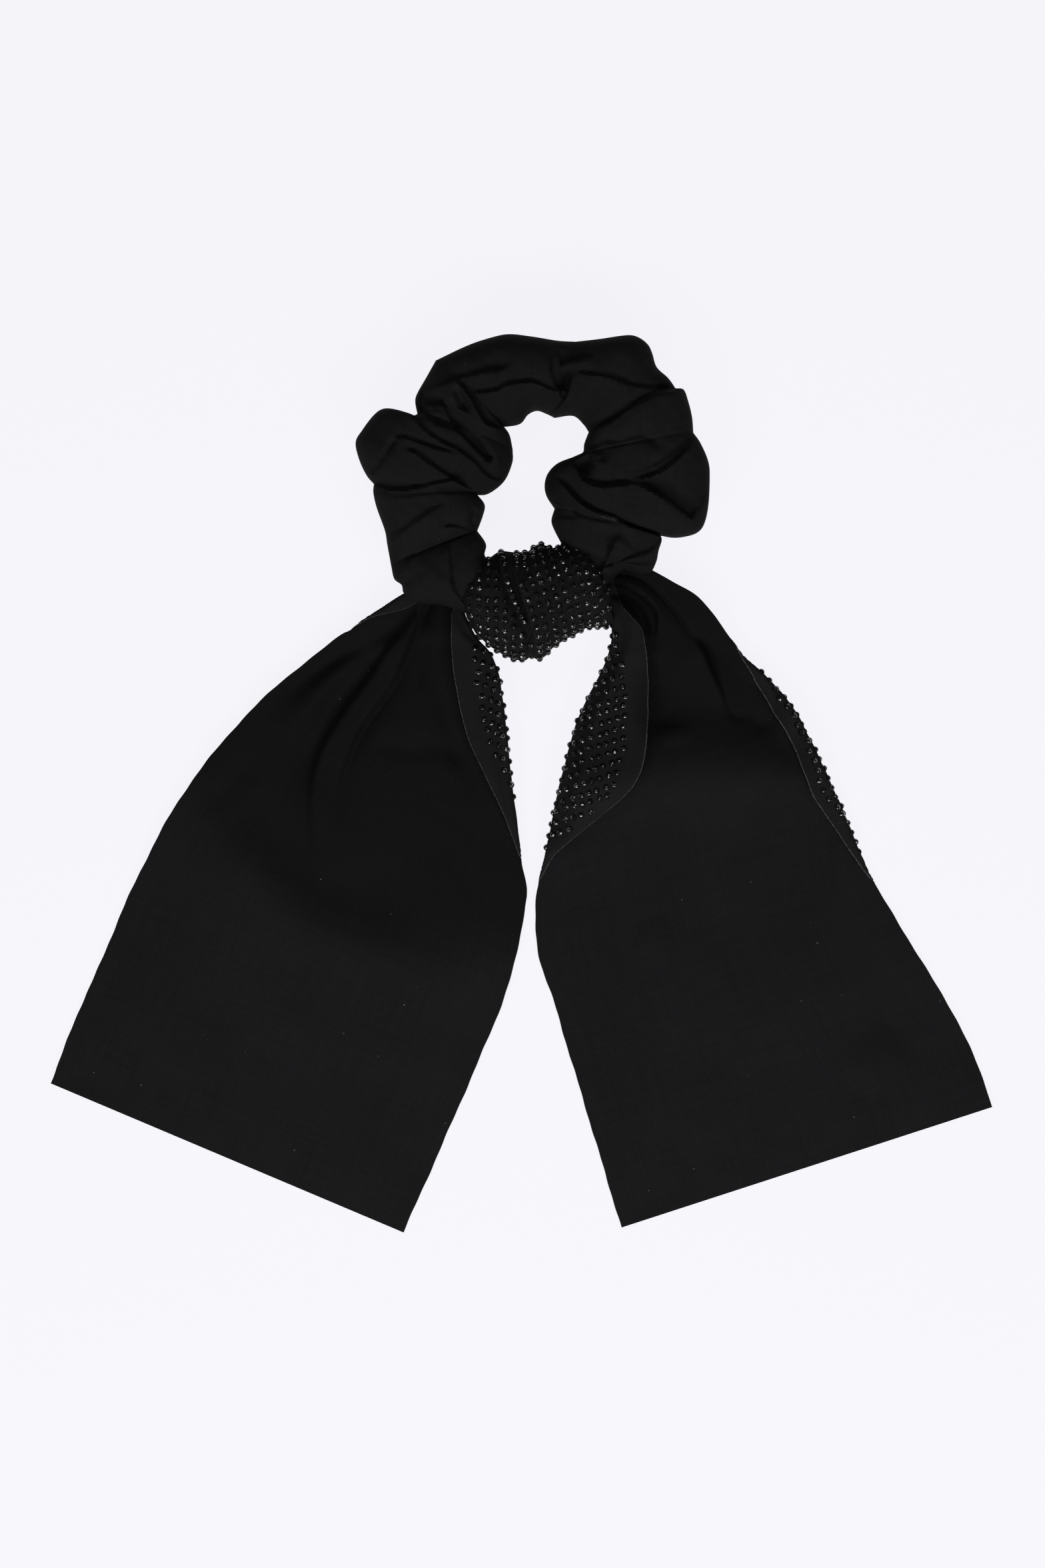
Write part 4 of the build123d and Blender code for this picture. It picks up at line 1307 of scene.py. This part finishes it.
@dataclass(frozen=True)
class Tail:
    """One broad tail, in its own plane: w across it and s from its cut end to the wrap."""

    side: str
    finishes: Finishes
    setter: StoneSetter
    end: Point
    turn: float
    left_edge: tuple[Point, ...]
    right_edge: tuple[Point, ...]
    left_lapel: Lapel
    right_lapel: Lapel
    folds: tuple[Fold | Ridge, ...]
    hump: Ridge
    rise: tuple[Point, ...]              # height of the cloth at each s
    top: float
    seed: int
    flat_width: float = 120.0
    split: float = 77.0                  # s where the upper piece meets the lower one
    lift_line: float = 108.0
    fold_line: float = 52.0
    bend_zone: float = 10.0
    step: float = 0.8
    rim: float = 0.3                     # width of the narrow faces along the cut end
    rim_across: float = 0.32             # the same along the sides
    softness: float = 0.5                # how gently the cloth comes to rest on the table
    crumple: Point = (0.18, 26.0)        # depth and length of the gentle waves
    left_waver: Wave = (3.9, 1.3, 0.0)   # long and short wave of a cut side, and their phase
    right_waver: Wave = (4.3, 1.5, 1.0)
    waver_depths: Point = (0.1, 0.06)
    opening: float = 6.0                 # way from the bend in which a turned edge opens fully
    full_lap: float = 8.0                # a narrower one opens less
    least_lap: float = 0.05              # a narrower one is not bent at all
    painted_shade_reach: Point = (-5.0, 17.0)   # from no painted shade to full painted shade, past the hump
    first_row: float = 1.4               # s of the first row of stones
    row_margin: Point = (1.2, 1.0)       # border without stones at both ends of a piece
    stone_sink: float = 0.05

    def axes(self) -> tuple[np.ndarray, np.ndarray, np.ndarray]:
        """Find the tail's own axes.

        Returns:
            Middle of the cut end, the direction across and the direction up the tail.
        """
        turn = math.radians(self.turn)
        across = np.array([math.cos(turn), math.sin(turn)])
        return np.array(self.end), across, np.array([-across[1], across[0]])

    def to_plan(self, s: np.ndarray, w: np.ndarray) -> tuple[np.ndarray, np.ndarray]:
        """Plan x and y of places on the tail."""
        origin, across, up = self.axes()
        return origin[0] + w * across[0] + s * up[0], origin[1] + w * across[1] + s * up[1]

    def line_on_tail(self, points: tuple[Point, ...]) -> tuple[np.ndarray, np.ndarray]:
        """Follow a line that was drawn in plan.

        Args:
            points: Corner points of the line.

        Returns:
            Distances s and w along the smooth line, ordered up the tail.
        """
        origin, across, up = self.axes()
        offset = smooth_line(points) - origin
        order = np.argsort(offset @ up)
        return (offset @ up)[order], (offset @ across)[order]

    def ragged(self, edge: tuple[Point, ...], waver: Wave, s: np.ndarray) -> np.ndarray:
        """Follow a side of the tail, wavering a little as cut cloth does.

        Args:
            edge: Corner points of the side, in plan.
            waver: Its long wave, its short wave and their phase.
            s: Places up the tail.

        Returns:
            Distance w of the side at each place.
        """
        (long, short, phase), (deep, shallow) = waver, self.waver_depths
        uneven = deep * np.sin(s / long + 2 * phase + self.seed) + shallow * np.sin(s / short + phase)
        return np.interp(s, *self.line_on_tail(edge)) + uneven

    def lapel_width(self, lapel: Lapel, s: np.ndarray) -> np.ndarray:
        """Measure a turned-over edge.

        Args:
            lapel: The edge.
            s: Places up the tail.

        Returns:
            Width of cloth that is turned over at each place.
        """
        cut, bend = self.line_on_tail(lapel.cut), self.line_on_tail(lapel.bend)
        width = np.abs(np.interp(s, *cut) - np.interp(s, *bend))
        width = width + (math.pi / 2 - 1.0) * np.minimum(width / 3.0, lapel.bend_radius)
        foot = max(cut[0][0], bend[0][0])
        return np.where(s > foot, width, 0.0) * smoothstep(foot - 0.5, foot + 2.0, s)

    def height(self, s: np.ndarray, w: np.ndarray) -> np.ndarray:
        """Shape the middle of the cloth above the table.

        Args:
            s: Places up the tail.
            w: Places across it.

        Returns:
            Heights.
        """
        x, y = self.to_plan(s, w)
        relief = total_relief(x, y, (self.hump, *self.folds))
        relief = relief + crumpled(x, y, (*self.crumple, 2.0 + self.turn))
        raised = np.interp(s, *np.array(self.rise).T) + relief
        soft = self.softness
        rested = np.logaddexp(0.0, raised / soft) - math.log(2.0) * np.exp(-np.abs(raised))
        return CLOTH_REST + soft * rested

    def painted_shade_above_hump(self, points: np.ndarray) -> np.ndarray:
        """Share of painted shade at each point, which darkens the cloth: 0 below the hump, 1 well above it.
        """
        above, _ = nearest_on_line(points[..., 0], points[..., 1], smooth_line(self.hump.points))
        return smoothstep(*self.painted_shade_reach, above)

    def fold_over(
        self, along: np.ndarray, edges: tuple[np.ndarray, np.ndarray], laps: tuple[np.ndarray, np.ndarray]
    ) -> tuple[np.ndarray, np.ndarray]:
        """Lay the cloth out across the tail and turn its edges over round their bends.

        Args:
            along: Distance across the flat cloth from the tail's left edge, rows by columns.
            edges: Distance w of the left and the right edge of each row.
            laps: Width turned over at the left and the right of each row.

        Returns:
            Distance w and the lift above the flat cloth.
        """
        left, right = edges
        w, lift = left[:, None] + along, np.zeros(along.shape)
        for lapel, edge, lap, past, inwards in (
            (self.left_lapel, left, laps[0], -along, 1.0),
            (self.right_lapel, right, laps[1], along - (right - left)[:, None], -1.0),
        ):
            lap = lap[:, None]
            radius = np.clip(lap / 3.0, 1e-3, lapel.bend_radius)
            quarter = radius * math.pi / 2
            angle = np.clip(past / radius, -math.pi / 2, math.pi / 2)
            over = np.maximum(past - quarter, 0.0)
            bent = (lap > self.least_lap) & (past >= -quarter)
            opened = lapel.lift * smoothstep(0.0, self.opening, over) * np.minimum(lap / self.full_lap, 1.0)
            w = np.where(bent, edge[:, None] + inwards * (radius * (1.0 - np.cos(angle)) + over), w)
            lift = np.where(bent, radius * (1.0 + np.sin(angle)) + opened, lift)
        return w, lift

    def surface(self, low: float, high: float) -> tuple[np.ndarray, np.ndarray, np.ndarray]:
        """Shape the cloth from s = low to s = high.

        Args:
            low: Where the piece starts.
            high: Where it ends.

        Returns:
            Its points, their flat places, and their distance across the cloth from the tail's left edge.
        """
        rows = np.linspace(low, high, int(round((high - low) / self.step)) + 1)
        if low <= 0.0:
            rows = np.insert(rows, 1, low + self.rim)
        sides = (self.left_edge, self.left_waver), (self.right_edge, self.right_waver)
        edges = tuple(self.ragged(*side, rows) for side in sides)
        laps = self.lapel_width(self.left_lapel, rows), self.lapel_width(self.right_lapel, rows)
        total = edges[1] - edges[0] + laps[0] + laps[1]
        widest = float(total.max())
        share = np.linspace(0.0, 1.0, int(round(widest / self.step)) + 1)
        rim = self.rim_across / widest
        share = np.concatenate([[0.0, rim], share[1:-1], [1.0 - rim, 1.0]])
        along = total[:, None] * share - laps[0][:, None]
        s = np.repeat(rows[:, None], share.size, axis=1)
        w, lift = self.fold_over(along, edges, laps)
        points = np.stack([*self.to_plan(s, w), self.height(s, w) + lift], axis=2)
        flat = np.stack([np.broadcast_to(share * self.flat_width, s.shape), s], axis=2)
        return points, flat, along

    def stone_layout(
        self, points: np.ndarray, rows: np.ndarray, along: np.ndarray
    ) -> tuple[np.ndarray, np.ndarray]:
        """Set out the stones on the wrong side of the cloth, which shows where an edge is turned over.

        Args:
            points: Points of the cloth.
            rows: Distance s of each row.
            along: Distance across the cloth of each point.

        Returns:
            Feet of the stones and the way that each one faces.
        """
        normals = surface_normals(points, False)
        if normals[..., 2].sum() > 0:
            normals = -normals
        places, facing = [], []
        for step in np.arange(math.ceil(rows[0] / STONE_ALONG), rows[-1] / STONE_ALONG):
            s = step * STONE_ALONG + self.first_row
            if not rows[0] + self.row_margin[0] < s < rows[-1] - self.row_margin[1]:
                continue
            row = int(np.argmin(np.abs(rows - s)))
            first, last = along[row, 0] + self.left_lapel.bare, along[row, -1] - self.right_lapel.bare
            spaces = int((last - first) / STONE_ACROSS)
            start = (first + last - spaces * STONE_ACROSS) / 2
            for k in range(spaces + 1):
                column = int(np.argmin(np.abs(along[row] - (start + k * STONE_ACROSS))))
                if 2 <= column < along.shape[1] - 2:
                    places.append(points[row, column])
                    facing.append(normals[row, column])
        return np.array(places), np.array(facing)

    def stretches(self) -> tuple[Stretch, Stretch]:
        """Divide the tail where its two pieces meet.

        Returns:
            The upper and the lower piece.
        """
        side, upper, lower = self.side, f"{self.side}_upper", f"{self.side}_lower"
        turned, studded = (
            [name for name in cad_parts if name.startswith(f"{kind}_turned_edge_{side}")]
            for kind in ("scarf", "crystals")
        )
        return (
            Stretch("upper", self.split, self.top, "root", upper, self.lift_line,
                    [f"scarf_root_{side}", f"scarf_tail_{upper}", *turned],
                    [f"crystal_field_{side}_root", f"crystal_field_{upper}", *studded]),
            Stretch("lower", 0.0, self.split, upper, lower, self.fold_line,
                    [f"scarf_tail_{lower}"], [f"crystal_field_{lower}"]),
        )

    def build(self) -> list[bpy.types.Object]:
        """Make the tail's two pieces of cloth and their stones.

        Returns:
            Each cloth, followed by its stones.
        """
        made = []
        finishes = self.finishes.front, self.finishes.edge, self.finishes.scarf

        for k, piece in enumerate(self.stretches()):
            points, uv, along = self.surface(piece.low, piece.high)
            cut = piece.low <= 0.0
            cloth = grid_object(f"scarf_tail_{self.side}_{piece.part}_cloth", points, uv, flip=True,
                                edge_columns=(0, points.shape[1] - 2), edge_rows=(0,) if cut else ())
            dress(cloth, *finishes)
            # the gather attribute carries painted shade, which darkens the cloth above the hump
            mark(cloth, "gather", "FLOAT", self.painted_shade_above_hump(points))
            thicken(cloth, CLOTH_THICKNESS)
            hide_cut(cloth, points.shape, points.shape[0] - 1 if cut else 0)
            places, facing = self.stone_layout(points, uv[:, 0, 1], along)
            feet = places + facing * (CLOTH_THICKNESS / 2 - self.stone_sink)
            name = f"crystals_{self.side}_{piece.part}"
            stones = self.setter.place(name, feet, facing, SEED + 10 * self.seed + k)
            for obj in (cloth, stones):
                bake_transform(obj)
            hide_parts(*piece.cloth_nodes)
            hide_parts(*piece.stone_nodes)
            LOG.info("%s: %d stones", cloth.name, len(places))
            made += [cloth, stones]
        return made


def left_tail(finishes: Finishes, setter: StoneSetter) -> Tail:
    """Describe the left tail, with its inner edge turned over and a sliver of its outer edge.

    Args:
        finishes: The materials.
        setter: What sets the stones.

    Returns:
        The tail, ready to be built.
    """
    return Tail(
        side="left", finishes=finishes, setter=setter, end=(-94.3, -207.5), turn=-22.9, top=188.0, seed=1,
        left_edge=((-149.4, -184.4), (-140.9, -162.6), (-133.5, -146.1), (-126.6, -129.5), (-118.6, -113),
                   (-109.3, -96.4), (-97, -79.8), (-81.5, -63.3), (-60.8, -46.7), (-56, -43.8), (-51, -40),
                   (-45, -36.3), (-40, -33.2), (-37, -32), (-34, -31)),
        right_edge=((-39.7, -230.3), (-26.3, -199.9), (-13.8, -170.9), (-8.9, -158.5), (-5.1, -146.1),
                    (-2, -129.5), (-1.4, -125.4), (-1.8, -121.2), (-3.6, -112.6), (-6.1, -92.6),
                    (-7.9, -76.8), (-9.4, -63.4), (-10.4, -57.5), (-13, -51), (-17.5, -46), (-21, -39)),
        left_lapel=Lapel(
            cut=((-56, -43.8), (-50, -40), (-45.3, -38.7), (-40, -37.5), (-37, -36.2), (-34.5, -34.6)),
            bend=((-56, -43.8), (-51, -40), (-45, -36.3), (-40, -33.2), (-37, -32), (-34, -31)),
            bend_radius=0.8, lift=0.3, bare=20.0,
        ),
        right_lapel=Lapel(
            cut=((-24.9, -39.1), (-24.6, -49.5), (-23.4, -61), (-20.9, -73.1), (-18.5, -79.8),
                 (-14.8, -87.7), (-11.2, -95.6), (-7.6, -104.1), (-3.4, -115.5)),
            bend=((-21, -39), (-17.5, -46), (-13, -51), (-10.4, -57.5), (-9.4, -63.4), (-7.9, -76.8),
                  (-6.1, -92.6), (-3.4, -115.5)),
            lift=1.4,
        ),
        hump=Ridge(((-108, -98), (-96, -111), (-85, -123), (-73, -134), (-60, -141.5), (-45, -146),
                    (-28, -148), (-10, -147)), 2.2, 9, 0.25, 0.35),
        rise=((0, -0.3), (50, -0.3), (62, 0.3), (76, 1.8), (84, 2.4), (125, 3.2), (150, 4.2), (168, 5.6),
              (188, 7.6)),
        folds=(
            # ridge from the ring down the middle, with its deep valley on the right
            Fold(((-32, -34), (-35, -41), (-38.5, -50), (-42, -58.5), (-47, -66), (-52.5, -73.5), (-57, -83),
                  (-59.8, -93), (-60, -104)), Side.RIGHT, 1.8, 4.4, 5, 3.6, 0, 0.45, 1.6),
            Fold(((-38, -41), (-46, -52), (-52, -60.5), (-58, -68.5), (-64.5, -79), (-67.8, -89),
                  (-68.6, -100), (-67.8, -116)), Side.LEFT, 1.3, 1.7, 4.5, 5, 0.1, 0.4, 1.6),
            Ridge(((-64, -84), (-66, -96), (-64, -112), (-60, -127)), 1.4, 5, 0.3, 0.3),
            Ridge(((-36, -37), (-48, -46.5), (-60, -52), (-72, -60.5), (-86, -74)), -2.8, 3.6, 0, 0.5),
            Ridge(((-43, -44), (-56, -54.5), (-66, -63.5), (-78, -78)), 1.6, 3.4, 0.2, 0.5),
            Ridge(((-47, -48.5), (-57, -61), (-64, -71), (-72, -86), (-76, -100)), -2.6, 4, 0.1, 0.4),
            Ridge(((-82, -80), (-93, -91), (-103, -101)), -1, 4, 0.4, 0.3),
            # trough above the hump
            Ridge(((-96, -92), (-80, -109), (-65, -119), (-48, -126), (-30, -129)), -2, 10, 0.2, 0.3),
            Ridge(((-50, -79), (-38, -80.5), (-28, -80.5), (-19, -85)), -1.1, 3.6, 0.2, 0.2),
            Ridge(((-29, -44), (-29, -56), (-26, -70), (-20, -86), (-13, -100)), -1.8, 4, 0.1, 0.3),
            Ridge(((-34, -44), (-33.5, -54), (-34, -64)), -1.4, 2.2, 0.3, 0.4),
        ),
    )


def right_tail(finishes: Finishes, setter: StoneSetter) -> Tail:
    """Describe the right tail, with both edges turned over.

    Args:
        finishes: The materials.
        setter: What sets the stones.

    Returns:
        The tail, ready to be built.
    """
    return Tail(
        side="right", finishes=finishes, setter=setter, end=(85.4, -210.3), turn=18.0, top=197.5, seed=2,
        left_edge=((27.8, -229), (19.1, -199.9), (10.4, -170.9), (6.7, -158.5), (2.5, -146.1), (1.2, -137.8),
                   (1.1, -131.6), (1.5, -125.4), (2.8, -119.7), (6, -104.9), (8.1, -94.9), (10.5, -84.9),
                   (13.1, -75.4), (16.3, -67.4), (20.8, -58.5), (23.9, -51.1), (25, -42.9), (23.5, -33),
                   (19, -23.5)),
        right_edge=((142.9, -191.6), (140.2, -183.3), (133.1, -166.8), (123.4, -150.2), (113.3, -133.7),
                    (106, -121.5), (100, -108.8), (95.8, -98.5), (91, -88), (86.2, -78.4), (80.8, -68),
                    (73.8, -59.6), (65.5, -51.8), (59, -42.6), (51.6, -34), (43.5, -29), (35.4, -24.5),
                    (29.5, -20)),
        left_lapel=Lapel(
            cut=((28, -37), (30.8, -40), (34, -45), (35.6, -55), (35.9, -64), (35.2, -80.1), (34.2, -86),
                 (32.1, -90.7), (29, -94.6), (20.5, -101.8), (11, -109.7), (6.8, -113.9), (2.6, -122)),
            bend=((23.5, -33), (25, -42.9), (23.9, -51.1), (20.8, -58.5), (16.3, -67.4), (13.1, -75.4),
                  (10.5, -84.9), (8.1, -94.9), (6, -104.9), (2.6, -122)),
            lift=3.6,
        ),
        right_lapel=Lapel(
            cut=((61.6, -46.5), (65.3, -52.8), (70, -61), (75.5, -70), (80, -78), (84, -88), (87.5, -96),
                 (94, -105.5), (101.5, -117), (105.5, -122.5)),
            bend=((61.6, -46.5), (65.5, -51.8), (73.8, -59.6), (80.8, -68), (86.2, -78.4), (91, -88),
                  (95.8, -98.5), (100, -108.8), (105.5, -122.5)),
            bend_radius=1.2, lift=0.5, bare=3.6,
        ),
        hump=Ridge(((4, -97), (18, -94), (34, -91.5), (50, -90), (66, -89.5), (80, -91), (94, -96)), 2.6, 9,
                    0.15, 0.15),
        rise=((0, -0.3), (96, -0.3), (108, 0.8), (122, 3), (132, 4), (155, 4.4), (170, 5.6), (184, 7.8),
              (198, 11)),
        folds=(
            Fold(((20, -26.8), (28, -26), (33, -27.2), (37, -29.8), (41.5, -34.5), (46.5, -40.5),
                  (52, -47.5)), Side.LEFT, 1.4, 3, 8, 2, 0, 0.25, 0.9),
            Fold(((49, -44), (53.5, -50.5), (57, -57.5), (60.5, -65), (63.8, -74)), Side.RIGHT, 1.8, 5, 8, 8,
                  0.25, 0.4, 1.6),
            Ridge(((54, -49), (59, -55), (63, -63), (66, -72)), -2, 4, 0.2, 0.3),
            # trough above the hump
            Ridge(((30, -66), (48, -66), (66, -68), (80, -72)), -3.8, 9, 0.2, 0.2),
            Fold(((20, -28.8), (27, -29.2), (32, -31.5), (36, -34.5), (38.5, -38), (38.8, -42.5),
                  (37.8, -49)), Side.LEFT, 1.3, 2.6, 2.2, 1.6, 0, 0.35, 0.8),
            Ridge(((25.5, -33), (30, -35), (33.5, -39), (35.4, -43.5), (35.6, -47)), -3, 1.5, 0, 0.3),
            Ridge(((36.5, -51), (38, -59), (38, -68), (37.5, -80)), -2.6, 5.5, 0.2, 0.4),
            Ridge(((66, -54), (72, -66), (78, -78), (82, -90)), -1.8, 5, 0.3, 0.3),
            Ridge(((44, -72), (45.5, -80)), 1, 4, 0.4, 0.4),
            Ridge(((30, -139), (38, -140.5), (46, -140)), 1.6, 7, 0.4, 0.4),
            Ridge(((96, -186), (108, -178), (120, -171)), 2, 8, 0.4, 0.4),
            Ridge(((104, -132), (116, -150), (128, -172)), -1.6, 6, 0.3, 0.3),
        ),
    )


# ------------------------------------------------------------------ kept solids, stage and light
def dress_stitches(finishes: Finishes) -> None:
    """Give the sewn threads their finish."""
    for name in ("elastic_join_stitches", "casing_closing_stitches", "scarf_tack_stitches"):
        dress(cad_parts[name], finishes.thread)


@dataclass(frozen=True)
class Softbox:
    """Rectangular lamp, by its place and size in millimetres."""

    place: tuple[float, float, float]
    size: tuple[float, float]
    power: float


@dataclass(frozen=True)
class Studio:
    """Pale floor, soft boxes near left, near right, on the far side and above, and a camera on top."""

    lens: float = 100.0
    sensor: float = 36.0
    background: Colour = (0.944, 0.934, 0.980)
    floor_half: float = 3.0              # metres from the middle to the floor's edge
    floor_colour: Colour = (0.78, 0.78, 0.8)
    floor_glow: float = 0.93
    sky_above: Colour = (0.06, 0.06, 0.062)
    sky_low: Colour = (0.085, 0.085, 0.088)
    aim: tuple[float, float, float] = (0.0, -0.16, 0.0)
    spread: float = 150.0
    lamps: tuple[Softbox, ...] = (
        Softbox((-310.0, -660.0, 650.0), (380.0, 320.0), 2.75),
        Softbox((310.0, -660.0, 650.0), (380.0, 320.0), 2.75),
        Softbox((0.0, 720.0, 1250.0), (700.0, 400.0), 2.0),
        Softbox((-60.0, 190.0, 1420.0), (240.0, 150.0), 0.8),
    )

    def floor(self) -> None:
        """Make the pale floor, which keeps a faint shadow of the scrunchie."""
        half = self.floor_half
        corners = [(-half, -half, 0), (half, -half, 0), (half, half, 0), (-half, half, 0)]
        mesh = bpy.data.meshes.new("floor")
        mesh.from_pydata(corners, [], [(0, 1, 2, 3)])
        floor = new_object("floor", mesh)
        material, b, shader = Finish("Pale floor", self.floor_colour).start()
        material.node_tree.nodes.remove(shader)
        rays = b.add("ShaderNodeLightPath").outputs
        direct = b.math("MAXIMUM", rays["Is Camera Ray"], rays["Is Glossy Ray"])
        seen = b.math("MAXIMUM", direct, rays["Is Transmission Ray"])
        matt = b.add("ShaderNodeBsdfDiffuse", {"Color": (*self.floor_colour, 1.0)})
        glow = b.add("ShaderNodeEmission", {"Color": (*self.background, 1.0)})
        share = b.math("MULTIPLY", seen, self.floor_glow)
        mix = b.add("ShaderNodeMixShader", {0: share, 1: matt.outputs[0], 2: glow.outputs[0]})
        b.feed(material.node_tree.nodes["Material Output"], {0: mix.outputs[0]})
        dress(floor, material)

    def world(self) -> None:
        """Light the room faintly, a little more from the sides than from above."""
        world = bpy.data.worlds.new("Studio")
        bpy.context.scene.world = world
        world.use_nodes = True
        b = NodeBuilder(world.node_tree)
        up = b.split(b.add("ShaderNodeTexCoord").outputs["Generated"])[2]
        ramp = b.add("ShaderNodeMapRange", {"Value": up, "From Min": 0.05, "From Max": 0.55},
                     interpolation_type="SMOOTHSTEP")
        colour = b.mix_colour(ramp.outputs[0], (*self.sky_low, 1.0), (*self.sky_above, 1.0))
        b.feed(world.node_tree.nodes["Background"], {"Color": colour, "Strength": 1.0})

    def light(self) -> None:
        """Hang the soft boxes, each aimed at the middle of the tails."""
        for k, box in enumerate(self.lamps):
            lamp = bpy.data.lights.new(f"softbox_{k}", "AREA")
            lamp.shape = "RECTANGLE"
            lamp.size, lamp.size_y = box.size[0] * MM, box.size[1] * MM
            lamp.energy = box.power
            lamp.spread = math.radians(self.spread)
            holder = new_object(f"softbox_{k}", lamp)
            holder.location = np.array(box.place) * MM
            towards = Vector(self.aim) - Vector(np.array(box.place) * MM)
            holder.rotation_euler = towards.to_track_quat("-Z", "Y").to_euler()

    def camera(self) -> None:
        """Set the camera straight above."""
        data = bpy.data.cameras.new("camera")
        data.lens, data.sensor_width, data.clip_end = self.lens, self.sensor, 20.0
        holder = new_object("camera", data)
        holder.location = Vector(CAMERA) * MM
        bpy.context.scene.camera = holder

    def build(self) -> None:
        """Set the whole stage."""
        bpy.context.scene.view_settings.view_transform = "Standard"
        self.camera()
        self.floor()
        self.world()
        self.light()


def main() -> None:
    """Build the scrunchie piece by piece."""
    logging.basicConfig(level=logging.INFO, format="%(message)s")
    Studio().build()
    finishes = Finishes()
    setter = StoneSetter(finishes.crystal)
    made = [HiddenElastic(finishes).build(), CasingRing(finishes).build()]
    made += ScarfWrap(finishes, setter).build()
    made += left_tail(finishes, setter).build()
    made += right_tail(finishes, setter).build()
    dress_stitches(finishes)
    setter.put_away()
    for piece in made:
        piece.data.calc_loop_triangles()
        LOG.info("%s: %d triangles", piece.name, len(piece.data.loop_triangles))


if __name__ == "__main__":
    main()
